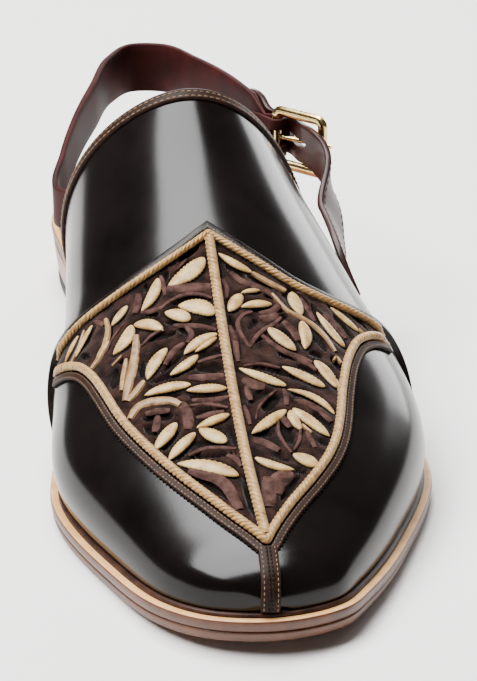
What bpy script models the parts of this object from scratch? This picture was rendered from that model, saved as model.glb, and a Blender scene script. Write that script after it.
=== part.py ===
"""Peshawari sandal, left shoe: a closed vamp with an inlaid leaf panel and a buckled sling strap.

All sizes are millimetres in the shoe's own directions (x, back, up): x grows toward the outer
side, back is the distance behind the toe tip and up is the height above the floor. The origin
of the model is the middle of the heel's tread, with the toe toward -Y.
"""
import math
from collections import namedtuple

import bmesh
import bpy
import numpy as np
from mathutils import Vector

MM = 0.001
GAP = 0.3
MEDIAL, LATERAL = -1, 1

# ---------------------------------------------------------------- driving sizes
SOLE_LENGTH = 300.0
HEEL_CENTRE = 266.0
TOE_TIP_X = -4.3

TOE_SPRING = 4.6
TREAD_START = 62.0
TREAD_END = 105.0
SEAT_START = 205.0
HEEL_LIFT = 16.0

OUTSOLE_THICK = 2.9
WELT_THICK = 3.3
WELT_REACH = 3.4
INSOLE_THICK = 2.4
HEEL_CAP_THICK = 4.5
HEEL_BREAST = 228.0
HEEL_INSET = 0.7

WALL = 2.2
PANEL_SINK = 0.8
PANEL_THICK = 0.4
CORD_RADIUS = 1.4
SPINE_CORD_RADIUS = 1.5
BINDING_WIDTH = 2.1
BINDING_THICK = 0.8
SEAM_WIDTH = 5.4
SEAM_THICK = 1.0
COLLAR_WIDTH = 3.2

STRAP_THICK = 2.0
FOLD_THICK = 1.3
FOLD_LENGTH = 11.0
BUCKLE_STRAP_THICK = 2.2
BUCKLE_STRAP_WIDTH = 13.5
BUCKLE_ROOT_WIDTH = 19.0
BUCKLE_LENGTH = 19.0
BUCKLE_HEIGHT = 22.0
BUCKLE_WIRE = 1.3
BUCKLE_RIM = 1.8
BUCKLE_CORNER = 4.0
PRONG_RADIUS = 0.9

TOPLINE_FOOT = 196.0
MITRE_LIMIT = 0.62

# The sole's outline: how far its two edges stand from the long axis, back from the toe tip.
Outline = namedtuple("Outline", "back medial lateral")
OUTLINE = [
    Outline(5, -22.8, 13), Outline(17, -35, 23.4), Outline(42, -45.5, 38.5),
    Outline(80, -55.5, 55), Outline(115, -51, 55.5), Outline(152, -43, 53),
    Outline(190, -37, 48), Outline(230, -35.5, 42), Outline(268, -35, 37),
    Outline(292, -21, 22),
]

# The ridge of the upper, from the welt at the toe up to the top of the tongue.
Ridge = namedtuple("Ridge", "back up x")
RIDGE = [
    Ridge(3.4, 11.0, -7.6), Ridge(3.0, 15.5, -7.5), Ridge(5.5, 20.0, -7.0),
    Ridge(12, 23.6, -6.4), Ridge(25, 27.6, -6.2), Ridge(45, 33.6, -6.2),
    Ridge(70, 41.4, -5.4), Ridge(95, 50.6, -4.2), Ridge(117, 60.0, -3.0),
    Ridge(134, 68.2, -2.2), Ridge(155, 79.0, -1.5), Ridge(180, 94.0, -0.8),
]

# Ribs run from the ridge down to the welt. run: place along the ridge (0 toe, 1 topline);
# foot: where the rib lands, as a share of the welt from the toe; reach: how far it leaves the
# ridge level; rise and lean: how high and how far out its lower end swells.
Rib = namedtuple("Rib", "run foot reach rise lean")
RIBS = {
    MEDIAL: [
        Rib(0, 0, 0.1, 0.1, 0), Rib(0.05, 0.062, 9, 6, 0.5), Rib(0.085, 0.125, 16, 9, 1),
        Rib(0.14, 0.20, 20, 13, 2), Rib(0.235, 0.32, 24, 19, 6), Rib(0.36, 0.45, 27, 24, 11),
        Rib(0.48, 0.57, 27.5, 28, 13.5), Rib(0.60, 0.67, 26.5, 32, 15.5),
        Rib(0.70, 0.76, 24, 35, 14), Rib(0.82, 0.87, 22, 38, 16), Rib(1, 1, 18, 40, 18),
    ],
    LATERAL: [
        Rib(0, 0, 0.1, 0.1, 0), Rib(0.05, 0.062, 9, 6, 0.5), Rib(0.085, 0.125, 16, 9, 1),
        Rib(0.14, 0.20, 21, 13, 2), Rib(0.235, 0.32, 29, 19, 5), Rib(0.36, 0.45, 32, 24, 7),
        Rib(0.48, 0.57, 36, 28, 11), Rib(0.60, 0.67, 31.5, 32, 10), Rib(0.70, 0.76, 29, 35, 4),
        Rib(0.82, 0.87, 25, 38, 0), Rib(1, 1, 22.5, 40, -5),
    ],
}

# Lines drawn on the upper. run as above; drop: share of the rib below the ridge.
Spot = namedtuple("Spot", "run drop")
TOE_LINE = {
    MEDIAL: [
        Spot(0.105, 0), Spot(0.179, 0.155), Spot(0.272, 0.295), Spot(0.358, 0.377),
        Spot(0.426, 0.427), Spot(0.465, 0.463), Spot(0.502, 0.515), Spot(0.527, 0.58),
        Spot(0.547, 0.66), Spot(0.566, 0.73),
    ],
    LATERAL: [
        Spot(0.105, 0), Spot(0.168, 0.12), Spot(0.226, 0.225), Spot(0.265, 0.277),
        Spot(0.30, 0.306), Spot(0.345, 0.324), Spot(0.40, 0.333), Spot(0.447, 0.35),
        Spot(0.49, 0.393), Spot(0.523, 0.472), Spot(0.54, 0.57), Spot(0.546, 0.625),
    ],
}
INSTEP_LINE = {
    MEDIAL: [
        Spot(0.713, 0), Spot(0.687, 0.093), Spot(0.66, 0.20), Spot(0.636, 0.31),
        Spot(0.618, 0.415), Spot(0.607, 0.52), Spot(0.599, 0.62), Spot(0.589, 0.72),
        Spot(0.568, 0.80), Spot(0.54, 0.885), Spot(0.515, 0.97),
    ],
    LATERAL: [
        Spot(0.713, 0), Spot(0.684, 0.069), Spot(0.649, 0.156), Spot(0.612, 0.25),
        Spot(0.588, 0.36), Spot(0.577, 0.46), Spot(0.572, 0.55), Spot(0.567, 0.64),
        Spot(0.556, 0.72), Spot(0.535, 0.79), Spot(0.505, 0.87), Spot(0.47, 0.96),
    ],
}
# Share of each instep line that the gold cord follows before it turns under the edge.
INSTEP_CORD_SHARE = {MEDIAL: 0.70, LATERAL: 0.67}

# The sling strap's middle line round the heel and its width.
Loop = namedtuple("Loop", "x back up width")
SLING = [
    Loop(-39.2, 208, 48.5, 13.5), Loop(-35.0, 224, 54.0, 14.0), Loop(-28.3, 243, 59.5, 15.0),
    Loop(-20.5, 262, 63.0, 16.0), Loop(-12.0, 283, 65.3, 17.0), Loop(-3.0, 293.5, 65.8, 17.6),
    Loop(7.5, 292, 65.8, 17.6), Loop(17.5, 275, 66.0, 17.0), Loop(25.5, 256, 66.0, 16.0),
    Loop(31.0, 241, 64.8, 15.0),
]
# Where the strap starts, hidden inside the medial wall: spots and depths under the outside.
Seat = namedtuple("Seat", "run drop proud")
SLING_START = [Seat(0.90, 0.74, -5.2), Seat(0.955, 0.745, -5.4), Seat(1.0, 0.75, -5.6)]
# The buckle strap rises from the outer wall near the welt to the buckle.
BUCKLE_STRAP_SEAT = [Seat(0.785, 0.90, 1.7), Seat(0.81, 0.87, 1.9), Seat(0.84, 0.835, 2.6)]
# Where it hangs free below the buckle, still leaning in at its top.
BUCKLE_STRAP_RISE = (48.2, 188.5, 42.8)
BUCKLE_STRAP_LEAN = (-0.4, 0.0, 0.917)
BUCKLE_CENTRE = (43.4, 219.5, 61.0)
BUCKLE_TURN = 48.7
FREE_END_PLACES = [(33.9, 241.2, 64.8), (30.2, 251.5, 65.4)]


# ---------------------------------------------------------------- curves and frames
def read_table(table, key, column, at):
    """Value of a column at a place along the table, on a smooth curve through its rows."""
    places = np.array([getattr(row, key) for row in table], float)
    values = np.array([getattr(row, column) for row in table], float)
    return smooth_curve(places, values, at)


def smooth_curve(places, values, at):
    """Cubic curve through the values with slopes taken from the neighbours."""
    slopes = np.gradient(values, places)
    at = np.asarray(at, float)
    left = np.clip(np.searchsorted(places, at) - 1, 0, len(places) - 2)
    span = places[left + 1] - places[left]
    part = np.clip((at - places[left]) / span, -0.5, 1.5)
    start = (2 * part**3 - 3 * part**2 + 1) * values[left]
    leave = (part**3 - 2 * part**2 + part) * span * slopes[left]
    end = (-2 * part**3 + 3 * part**2) * values[left + 1]
    arrive = (part**3 - part**2) * span * slopes[left + 1]
    return start + leave + end + arrive


def smooth_path(points, count):
    """Evenly spaced points on a smooth curve through the given points."""
    points = np.array(points, float)
    steps = np.linalg.norm(np.diff(points, axis=0), axis=1)
    places = np.concatenate([[0.0], np.cumsum(steps)])
    fine = np.linspace(0, places[-1], 12 * len(points))
    curve = np.stack([smooth_curve(places, points[:, k], fine) for k in range(points.shape[1])], 1)
    lengths = np.concatenate([[0.0], np.cumsum(np.linalg.norm(np.diff(curve, axis=0), axis=1))])
    even = np.linspace(0, lengths[-1], count)
    return np.stack([np.interp(even, lengths, curve[:, k]) for k in range(points.shape[1])], 1)


def unit(vectors):
    """Vectors scaled to length one."""
    return vectors / np.maximum(np.linalg.norm(vectors, axis=-1, keepdims=True), 1e-12)


def ease(part):
    """Smooth step from 0 to 1."""
    part = np.clip(part, 0, 1)
    return part * part * (3 - 2 * part)


# ---------------------------------------------------------------- the sole's shape
def sole_bottom(back):
    """Height of the outsole's underside: toe spring, flat tread, arch and heel seat."""
    back = np.asarray(back, float)
    spring = TOE_SPRING * np.clip(1 - back / TREAD_START, 0, 1) ** 2
    return spring + HEEL_LIFT * ease((back - TREAD_END) / (SEAT_START - TREAD_END))


WELT_TOP = OUTSOLE_THICK + GAP + WELT_THICK
FEATHER = WELT_TOP + GAP
OUTLINE_STEPS = 24


def sole_outline():
    """Closed outline of the sole as (back, x) points: toe, medial side, heel, lateral side."""
    corners = [(0.0, TOE_TIP_X)]
    corners += [(row.back, row.medial) for row in OUTLINE]
    corners += [(SOLE_LENGTH, 0.0)]
    corners += [(row.back, row.lateral) for row in reversed(OUTLINE)]
    corners = np.array(corners, float)
    points = []
    for k in range(len(corners)):
        before, start, end, after = (corners[(k + i) % len(corners)] for i in (-1, 0, 1, 2))
        points += [centripetal(before, start, end, after, i / OUTLINE_STEPS) for i in range(OUTLINE_STEPS)]
    return np.array(points)


def centripetal(before, start, end, after, part):
    """Point of a centripetal Catmull-Rom span between start and end."""
    knots = [0.0]
    for a, b in ((before, start), (start, end), (end, after)):
        knots.append(knots[-1] + np.linalg.norm(b - a) ** 0.5)
    t = knots[1] + (knots[2] - knots[1]) * part

    def blend(a, b, low, high):
        return ((high - t) * a + (t - low) * b) / (high - low)

    first = blend(before, start, knots[0], knots[1])
    middle = blend(start, end, knots[1], knots[2])
    last = blend(end, after, knots[2], knots[3])
    early = blend(first, middle, knots[0], knots[2])
    late = blend(middle, last, knots[1], knots[3])
    return blend(early, late, knots[1], knots[2])


BASE_OUTLINE = sole_outline()
HALF_OUTLINE = (len(OUTLINE) + 1) * OUTLINE_STEPS


def inset_outline(inset):
    """The sole's outline moved inward by a distance, or by one distance for each point."""
    along = unit(np.roll(BASE_OUTLINE, -1, 0) - np.roll(BASE_OUTLINE, 1, 0))
    inward = np.stack([-along[:, 1], along[:, 0]], 1)
    return BASE_OUTLINE + inward * np.broadcast_to(inset, len(BASE_OUTLINE))[:, None]


def side_rail(inset, side):
    """One side of the inset outline, from the toe to the heel."""
    points = inset_outline(inset)
    if side == MEDIAL:
        return points[: HALF_OUTLINE + 1]
    return np.vstack([points[:1], points[: HALF_OUTLINE - 1: -1]])


# ---------------------------------------------------------------- the upper's shape
def ridge_places():
    """Share of the ridge's length at each of its rows."""
    points = np.array([(row.back, row.up) for row in RIDGE], float)
    lengths = np.concatenate([[0.0], np.cumsum(np.linalg.norm(np.diff(points, axis=0), axis=1))])
    return lengths / lengths[-1]


def welt_line(side):
    """The line where the upper meets the welt, with the share of its length up to the topline."""
    rail = side_rail(WELT_REACH, side)
    rail = rail[rail[:, 0] <= TOPLINE_FOOT + 6]
    lengths = np.concatenate([[0.0], np.cumsum(np.linalg.norm(np.diff(rail, axis=0), axis=1))])
    return rail, lengths / np.interp(TOPLINE_FOOT, rail[len(rail) // 3:, 0], lengths[len(rail) // 3:])


RIDGE_PLACES = ridge_places()
RIDGE_LENGTH = sum(math.dist(a[:2], b[:2]) for a, b in zip(RIDGE, RIDGE[1:]))
RIDGE_POINTS = np.array([(row.x, row.back, row.up) for row in RIDGE], float)
WELT_LINES = {side: welt_line(side) for side in (MEDIAL, LATERAL)}


def ridge_point(run):
    """Point on the ridge of the upper."""
    return np.stack([smooth_curve(RIDGE_PLACES, RIDGE_POINTS[:, k], run) for k in range(3)], -1)


def foot_point(side, share):
    """Point where a rib meets the welt, and the level direction that leads outward there."""
    rail, places = WELT_LINES[side]
    step = 0.004

    def at(place):
        return np.stack([np.interp(place, places, rail[:, 1]), np.interp(place, places, rail[:, 0])], -1)

    point = at(share)
    along = at(share + step) - at(share - step)
    outward = unit(np.stack([along[..., 1], -along[..., 0]], -1)) * side
    level = np.zeros(point.shape[:-1] + (1,))
    height = (sole_bottom(point[..., 1]) + FEATHER)[..., None]
    return np.concatenate([point, height], -1), np.concatenate([outward, level], -1)


def surface(side, run, drop):
    """Point on the outside of the upper: a rib from the ridge (drop 0) to the welt (drop 1)."""
    run, drop = np.broadcast_arrays(np.asarray(run, float), np.asarray(drop, float))
    rib = {name: read_table(RIBS[side], "run", name, run)[..., None] for name in Rib._fields[1:]}
    top = ridge_point(run)
    foot, outward = foot_point(side, rib["foot"][..., 0])
    top_pull = top + rib["reach"] * np.array([side, 0.0, 0.0])
    foot_pull = foot + rib["lean"] * outward + rib["rise"] * np.array([0.0, 0.0, 1.0])
    d = drop[..., None]
    return (1 - d) ** 3 * top + 3 * (1 - d) ** 2 * d * top_pull + 3 * (1 - d) * d**2 * foot_pull + d**3 * foot


def slopes(side, run, drop):
    """Directions in which the surface goes as run and drop grow."""
    run = np.maximum(np.asarray(run, float), 0.006)
    step = 0.002
    by_run = (surface(side, run + step, drop) - surface(side, run - step, drop)) / (2 * step)
    by_drop = (surface(side, run, drop + step) - surface(side, run, drop - step)) / (2 * step)
    return by_run, by_drop


def outward_normal(side, run, drop):
    """Unit direction that leaves the upper's outside."""
    by_run, by_drop = slopes(side, run, drop)
    return unit(np.cross(by_drop, by_run)) * side


def on_upper(side, run, drop, proud=0.0):
    """Point on the upper, lifted off its outside by a distance."""
    proud = np.asarray(proud, float)[..., None]
    return surface(side, run, drop) + outward_normal(side, run, drop) * proud


def walk(side, run, drop, direction, distance):
    """The spots reached by going a distance over the surface in a direction."""
    for _ in range(2):
        by_run, by_drop = slopes(side, run, drop)
        goal = direction * np.asarray(distance)[..., None] / 2
        stretch, skew, spread = ((a * b).sum(-1) for a, b in (
            (by_run, by_run), (by_run, by_drop), (by_drop, by_drop)
        ))
        first, second = (by_run * goal).sum(-1), (by_drop * goal).sum(-1)
        whole = stretch * spread - skew**2
        run = run + (first * spread - second * skew) / whole
        drop = drop + (second * stretch - first * skew) / whole
    return run, drop


def line_spots(line, side, count, share=1.0):
    """Evenly spaced (side, run, drop) spots along a line drawn on one side of the upper."""
    controls = np.array(line[side], float)
    dense = smooth_path(controls, 160)
    points = surface(side, dense[:, 0], dense[:, 1])
    lengths = np.concatenate([[0.0], np.cumsum(np.linalg.norm(np.diff(points, axis=0), axis=1))])
    even = np.linspace(0, lengths[-1] * share, count)
    return [(side, np.interp(s, lengths, dense[:, 0]), np.interp(s, lengths, dense[:, 1])) for s in even]


def across_spots(line, count, share=None):
    """Spots along a line from its medial end, over the ridge, to its lateral end."""
    share = share or {MEDIAL: 1.0, LATERAL: 1.0}
    medial = line_spots(line, MEDIAL, count, share[MEDIAL])
    lateral = line_spots(line, LATERAL, count, share[LATERAL])
    return medial[::-1] + lateral[1:]


# ---------------------------------------------------------------- meshes
def place(points):
    """Shoe directions in millimetres to the model's metres."""
    points = np.asarray(points, float)
    return (points - np.array([0.0, HEEL_CENTRE, 0.0])) * MM


def new_object(name, mesh, material, smooth_angle=None):
    """Object for one sub-part, with its material and shading."""
    thing = bpy.data.objects.new(name, mesh)
    bpy.context.scene.collection.objects.link(thing)
    mesh.materials.append(material)
    if smooth_angle:
        mesh.shade_smooth()
        mesh.set_sharp_from_angle(angle=math.radians(smooth_angle))
    return thing


def body_mesh(name, points, faces):
    """Closed mesh from points and faces, with doubles merged and its faces pointing out."""
    mesh = bpy.data.meshes.new(name)
    shell = bmesh.new()
    corners = [shell.verts.new(Vector(point)) for point in place(points)]
    for face in faces:
        shell.faces.new([corners[k] for k in face])
    bmesh.ops.remove_doubles(shell, verts=shell.verts, dist=2e-6)
    bmesh.ops.dissolve_degenerate(shell, dist=1e-6, edges=shell.edges)
    bmesh.ops.triangulate(shell, faces=shell.faces, quad_method="FIXED")
    bmesh.ops.recalc_face_normals(shell, faces=shell.faces)
    shell.to_mesh(mesh)
    shell.free()
    return mesh


def ring_faces(rings, corners, closed=False):
    """Faces of a skin over rings of corners, with a cap on each end of an open one."""
    faces = []
    for r in range(rings if closed else rings - 1):
        here, there = r * corners, (r + 1) % rings * corners
        for k in range(corners):
            after = (k + 1) % corners
            faces.append((here + k, here + after, there + after, there + k))
    if not closed:
        faces.append(tuple(range(corners)))
        faces.append(tuple(range((rings - 1) * corners, rings * corners)))
    return faces


def ring_body(name, rings, closed=False):
    """Closed mesh over an array of rings of points."""
    rings = np.asarray(rings, float)
    count, corners = rings.shape[:2]
    return body_mesh(name, rings.reshape(-1, 3), ring_faces(count, corners, closed))


def sheet_body(name, upper_side, lower_side):
    """Closed mesh between two grids of points of the same size."""
    rows, columns = upper_side.shape[:2]
    points = np.concatenate([upper_side.reshape(-1, 3), lower_side.reshape(-1, 3)])
    under = rows * columns
    faces = []
    for r in range(rows - 1):
        for c in range(columns - 1):
            quad = (r * columns + c, r * columns + c + 1, (r + 1) * columns + c + 1, (r + 1) * columns + c)
            faces += [quad, tuple(under + k for k in reversed(quad))]
    rim = [c for c in range(columns)] + [r * columns + columns - 1 for r in range(1, rows)]
    rim += [(rows - 1) * columns + c for c in range(columns - 2, -1, -1)]
    rim += [r * columns for r in range(rows - 2, 0, -1)]
    for k, corner in enumerate(rim):
        after = rim[(k + 1) % len(rim)]
        faces.append((corner, under + corner, under + after, after))
    return body_mesh(name, points, faces)


def apply_boolean(thing, cutter, operation):
    """Add an exact Boolean that stays live, and hide its cutter."""
    step = thing.modifiers.new(operation.title(), "BOOLEAN")
    step.operation = operation
    step.solver = "EXACT"
    step.object = cutter
    cutter.hide_render = True
    cutter.display_type = "WIRE"


def circle_section(radius, lift, sides=8):
    """Round section as (across, proud) corners, resting the given distance up."""
    turns = np.arange(sides) * 2 * math.pi / sides + math.pi / sides
    return [(radius * math.cos(t), lift + radius + radius * math.sin(t)) for t in turns]


def flat_section(start, end, low, high, chamfer=0.25):
    """Flat strip's section with its upper corners taken off."""
    return [
        (start, low), (end, low), (end, high - chamfer), (end - chamfer, high),
        (start + chamfer, high), (start, high - chamfer),
    ]


def laid_rings(spots, section, widths=None, heights=None):
    """Rings of a strip that lies on the upper along the given spots.

    The section's first value goes across the strip, to the right of its travel as seen from
    outside, and its second leaves the surface. Widths and heights scale them at each spot.
    """
    sides, runs, drops = (np.array(column) for column in zip(*spots))
    widths = np.ones(len(spots)) if widths is None else widths
    heights = np.ones(len(spots)) if heights is None else heights
    middle, normal = np.zeros((2, len(spots), 3))
    rings = np.zeros((len(spots), len(section), 3))
    groups = [(side, sides == side) for side in (MEDIAL, LATERAL) if (sides == side).any()]
    for side, on in groups:
        middle[on] = surface(side, runs[on], drops[on])
        normal[on] = outward_normal(side, runs[on], drops[on])
    ahead = unit(np.diff(middle, axis=0))
    ahead = np.vstack([ahead[:1], ahead, ahead[-1:]])
    along = unit(ahead[:-1] + ahead[1:])
    mitre = 1 / np.clip((along * ahead[1:]).sum(1), MITRE_LIMIT, 1)
    across = unit(np.cross(along, normal))
    for side, on in groups:
        for k, (offset, lift) in enumerate(section):
            run, drop = walk(side, runs[on], drops[on], across[on], offset * mitre[on] * widths[on])
            rings[on, k] = on_upper(side, run, drop, lift * heights[on])
    return rings


# One station of a strap: its middle, its width and thickness, and the way its width points.
def strap_row(middle, width, thick, upward=(0.0, 0.0, 1.0)):
    """Row of numbers for one station of a strap."""
    return np.array([*middle, width, thick, *upward], float)


def seated_rows(side, seats, width, thick):
    """Strap stations that lie along the upper's wall and lean with it."""
    rows = []
    for seat in seats:
        lean = -unit(slopes(side, seat.run, seat.drop)[1])
        rows.append(strap_row(on_upper(side, *seat), width, thick, lean))
    return rows


def strap_rings(rows):
    """Rings of a flat strap through its stations, with soft edges."""
    middle, widths, thicks, upward = rows[:, :3], rows[:, 3], rows[:, 4], rows[:, 5:]
    ahead = unit(np.diff(middle, axis=0))
    ahead = np.vstack([ahead[:1], ahead, ahead[-1:]])
    along = unit(ahead[:-1] + ahead[1:])
    broad = unit(upward - along * (upward * along).sum(1, keepdims=True))
    through = unit(np.cross(along, broad))
    rings = []
    for k in range(len(rows)):
        half, thick = widths[k] / 2, thicks[k]
        soft = min(0.5, thick / 3)
        corners = [(-half, -thick / 2 + soft), (-half + soft, -thick / 2), (half - soft, -thick / 2)]
        corners += [(half, -thick / 2 + soft)]
        corners += [(-w, -t) for w, t in corners]
        rings.append([middle[k] + w * broad[k] + t * through[k] for w, t in corners])
    return np.array(rings)


# ---------------------------------------------------------------- sole, heel and insole
# A height above the floor; a plain number is a height above the sole's underside.
Level = namedtuple("Level", "up")


def slab(name, inset, bottom_inset, low, high, start):
    """Flat body that follows the sole's outline between two heights, from a place rearward."""
    rows = []
    picks = outline_picks(start)
    for pick_inset, level in ((inset, high), (bottom_inset, low)):
        medial = side_rail(pick_inset, MEDIAL)[picks]
        lateral = side_rail(pick_inset, LATERAL)[picks]
        medial, lateral = (cut_front(rail, start) for rail in (medial, lateral))
        grid = np.stack([medial, (medial + lateral) / 2, lateral], 1)
        height = level.up if isinstance(level, Level) else sole_bottom(grid[..., 0]) + level
        rows.append(np.stack([grid[..., 1], grid[..., 0], np.broadcast_to(height, grid.shape[:2])], -1))
    return sheet_body(name, rows[0], rows[1])


def outline_picks(start):
    """Outline stations that the slabs share, closer together at the round ends."""
    stations = np.concatenate([np.arange(0, 48, 4), np.arange(48, 216, 8), np.arange(216, HALF_OUTLINE + 1, 4)])
    if start:
        backs = side_rail(0.0, LATERAL)[stations, 0]
        stations = stations[np.searchsorted(backs, start) - 1:]
    return stations


def cut_front(rail, start):
    """The rail with its first point moved onto the cut line across the sole."""
    rail = rail.copy()
    if start:
        rail[0, 1] = np.interp(start, rail[:, 0], rail[:, 1])
        rail[0, 0] = start
    return rail


def insole_inset():
    """The insole keeps inside the upper's wall, and widens to the welt's edge behind it."""
    covered = WELT_REACH + WALL + 1.4
    open_edge = 1.8
    return covered + (open_edge - covered) * ease((BASE_OUTLINE[:, 0] - TOPLINE_FOOT - 6) / 16)


def build_sole(skins):
    """Heel, outsole, welt and insole, each a body of its own."""
    block_low = HEEL_CAP_THICK + GAP
    layers = [
        ("heel_cap", HEEL_INSET + 1.2, HEEL_INSET + 1.4, Level(0), Level(HEEL_CAP_THICK), HEEL_BREAST + 1),
        ("heel_block", HEEL_INSET, HEEL_INSET + 1.2, Level(block_low), Level(HEEL_LIFT - GAP), HEEL_BREAST),
        ("outsole", 0.3, 0.8, 0.0, OUTSOLE_THICK, 0.0),
        ("welt", 0.0, 0.0, OUTSOLE_THICK + GAP, WELT_TOP, 0.0),
        ("insole", insole_inset(), insole_inset(), FEATHER, FEATHER + INSOLE_THICK, 0.0),
    ]
    for name, inset, bottom_inset, low, high, start in layers:
        new_object(name, slab(name, inset, bottom_inset, low, high, start), skins[name], 40)


# ---------------------------------------------------------------- upper and leaf panel
RUN_STATIONS = np.concatenate([[0, 0.026, 0.045, 0.064, 0.085, 0.108, 0.13], np.linspace(0.16, 1.0, 23)])
DROP_STATIONS = np.linspace(0, 1, 12)
PANEL_PLACES = np.array([0, 0.09, 0.19, 0.3, 0.41, 0.52, 0.63, 0.73, 0.82, 0.91, 1])
PANEL_COLUMNS = np.linspace(0, 1, 12)
PANEL_INSET = 0.9
WING_INSET = 0.05
APEX_STRETCH = 3.0


def upper_grid(proud):
    """Grid over the upper from medial welt, over the ridge, to lateral welt."""
    rows = []
    for run in RUN_STATIONS:
        medial = on_upper(MEDIAL, run, DROP_STATIONS[::-1], proud)
        lateral = on_upper(LATERAL, run, DROP_STATIONS[1:], proud)
        rows.append(np.vstack([medial, lateral]))
    grid = np.array(rows)
    toe = grid[0].mean(0)
    grid[0] = toe if proud == 0 else ridge_point(0.0) + np.array([0.0, -proud, 0.0])
    return grid


def build_upper(skins):
    """The vamp and instep: one wall, open underneath and at the topline, sunk for the panel."""
    wall = new_object("upper", sheet_body("upper", upper_grid(0.0), upper_grid(-WALL)), skins["upper"], 50)
    seat = sheet_body("panel_seat_cutter", panel_grid(0.0, 3.0), panel_grid(0.0, -PANEL_SINK))
    seat = new_object("panel_seat_cutter", seat, skins["upper"])
    apply_boolean(wall, seat, "DIFFERENCE")


def panel_border(line, side, places, inset, apex_inset, share):
    """Spots along one border of the panel, moved over the upper toward its middle."""
    spots = np.array([spot[1:] for spot in line_spots(line, side, 81, share)])
    stations = np.linspace(0, 1, len(spots))
    run, drop, before, after = (
        np.interp(places + step, stations, spots[:, k]) for k, step in ((0, 0), (1, 0), (0, -0.02), (0, 0.02))
    )
    lower, upper = (np.interp(places + step, stations, spots[:, 1]) for step in (-0.02, 0.02))
    along = unit(surface(side, after, upper) - surface(side, before, lower))
    rearward = unit(np.cross(along, outward_normal(side, run, drop))) * -side
    run, drop = walk(side, run, drop, rearward, np.full(len(places), float(inset)))
    run[0], drop[0] = spots[0, 0] + apex_inset / RIDGE_LENGTH, 0.0
    return np.stack([run, drop], 1)


def panel_grid(inset, proud):
    """Grid over the leaf panel: rows from its medial wing to its lateral one, toe to instep."""
    rows = []
    for side in (MEDIAL, LATERAL):
        places = PANEL_PLACES * (1 - WING_INSET * inset)
        toe = panel_border(TOE_LINE, side, places, inset, inset * APEX_STRETCH, 1.0)
        top = panel_border(INSTEP_LINE, side, places, -inset, -inset * APEX_STRETCH, INSTEP_CORD_SHARE[side])
        half = []
        for start, end in zip(toe, top):
            spots = start + (end - start) * PANEL_COLUMNS[:, None]
            half.append(on_upper(side, spots[:, 0], spots[:, 1], proud))
        rows += half[::-1] if side == MEDIAL else half[1:]
    return np.array(rows)


def build_leaf_panel(skins):
    """Ground of the inlaid panel, sunk into the upper inside the cords."""
    floor = -PANEL_SINK + 1.5 * GAP
    top, under = (panel_grid(PANEL_INSET, level) for level in (floor + PANEL_THICK, floor))
    new_object("leaf_panel", sheet_body("leaf_panel", top, under), skins["leaf_panel"], 50)


# ---------------------------------------------------------------- cords, bindings and seam
def build_cords(skins):
    """Gold cords round the panel and down its spine; the long ones dive under the instep edge."""
    round_cord = circle_section(CORD_RADIUS, GAP)
    long_cords = (("toe_cord", TOE_LINE, 26, None), ("instep_cord", INSTEP_LINE, 24, INSTEP_CORD_SHARE))
    for name, line, count, share in long_cords:
        spots = across_spots(line, count, share)
        dive = np.ones(len(spots))
        dive[[0, -1]], dive[[1, -2]] = 0.45, 0.8
        new_object(name, ring_body(name, laid_rings(spots, round_cord, dive, dive)), skins["cord"], 60)
    start = TOE_LINE[LATERAL][0].run + 0.032
    end = INSTEP_LINE[LATERAL][0].run - 0.019
    spots = [(LATERAL, run, 0.0) for run in np.linspace(start, end, 24)]
    spine = laid_rings(spots, circle_section(SPINE_CORD_RADIUS, GAP))
    new_object("spine_cord", ring_body("spine_cord", spine), skins["cord"], 60)


def build_bindings(skins):
    """Brown edge bindings outside the cords: the instep's stands higher toward its wings."""
    near = CORD_RADIUS + GAP
    far = near + BINDING_WIDTH
    toe = laid_rings(across_spots(TOE_LINE, 24)[1:-1], flat_section(near, far, GAP, GAP + BINDING_THICK))
    new_object("toe_edge", ring_body("toe_edge", toe), skins["binding"], 35)
    spots = across_spots(INSTEP_LINE, 28)
    bolder = 1 + 0.9 * ease((np.abs(np.linspace(-1, 1, len(spots))) - 0.4) / 0.3)
    section = flat_section(-far, -near, GAP, GAP + BINDING_THICK)
    rings = laid_rings(spots, section, None, bolder)
    new_object("instep_edge", ring_body("instep_edge", rings), skins["binding"], 35)


def build_toe_seam(skins):
    """Raised strip over the joint of the toe's two halves, flared where it meets the toe edge."""
    half = SEAM_WIDTH / 2
    section = flat_section(-half, half, GAP, GAP + SEAM_THICK, 0.35)
    reach = (CORD_RADIUS + GAP + BINDING_WIDTH) / MITRE_LIMIT + GAP
    runs = np.linspace(0.03, TOE_LINE[LATERAL][0].run - reach / RIDGE_LENGTH, 9)
    flare = 1 + 0.9 * ease((runs - 0.06) / 0.03)
    rings = laid_rings([(LATERAL, run, 0.0) for run in runs[::-1]], section, flare[::-1])
    foot = [rings[-1] + ridge_point(run) - ridge_point(runs[0]) for run in (0.016, 0.004)]
    new_object("toe_seam", ring_body("toe_seam", np.concatenate([rings, foot])), skins["binding"], 35)


def build_collar(skins):
    """Binding folded over the topline."""
    inner = -WALL - GAP
    section = [
        (COLLAR_WIDTH, GAP), (COLLAR_WIDTH - 0.3, GAP + 0.7),
        (-0.6, GAP + 0.7), (-GAP - 0.7, GAP), (-GAP - 0.7, inner), (-0.6, inner - 0.7),
        (COLLAR_WIDTH - 0.8, inner - 0.7), (COLLAR_WIDTH - 0.8, inner), (-GAP, inner), (-GAP, GAP),
    ]
    drops = np.linspace(0.0, 0.97, 17)
    spots = [(MEDIAL, 1.0, drop) for drop in drops[::-1]] + [(LATERAL, 1.0, drop) for drop in drops[1:]]
    new_object("collar_binding", ring_body("collar_binding", laid_rings(spots, section)), skins["binding"], 35)


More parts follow.
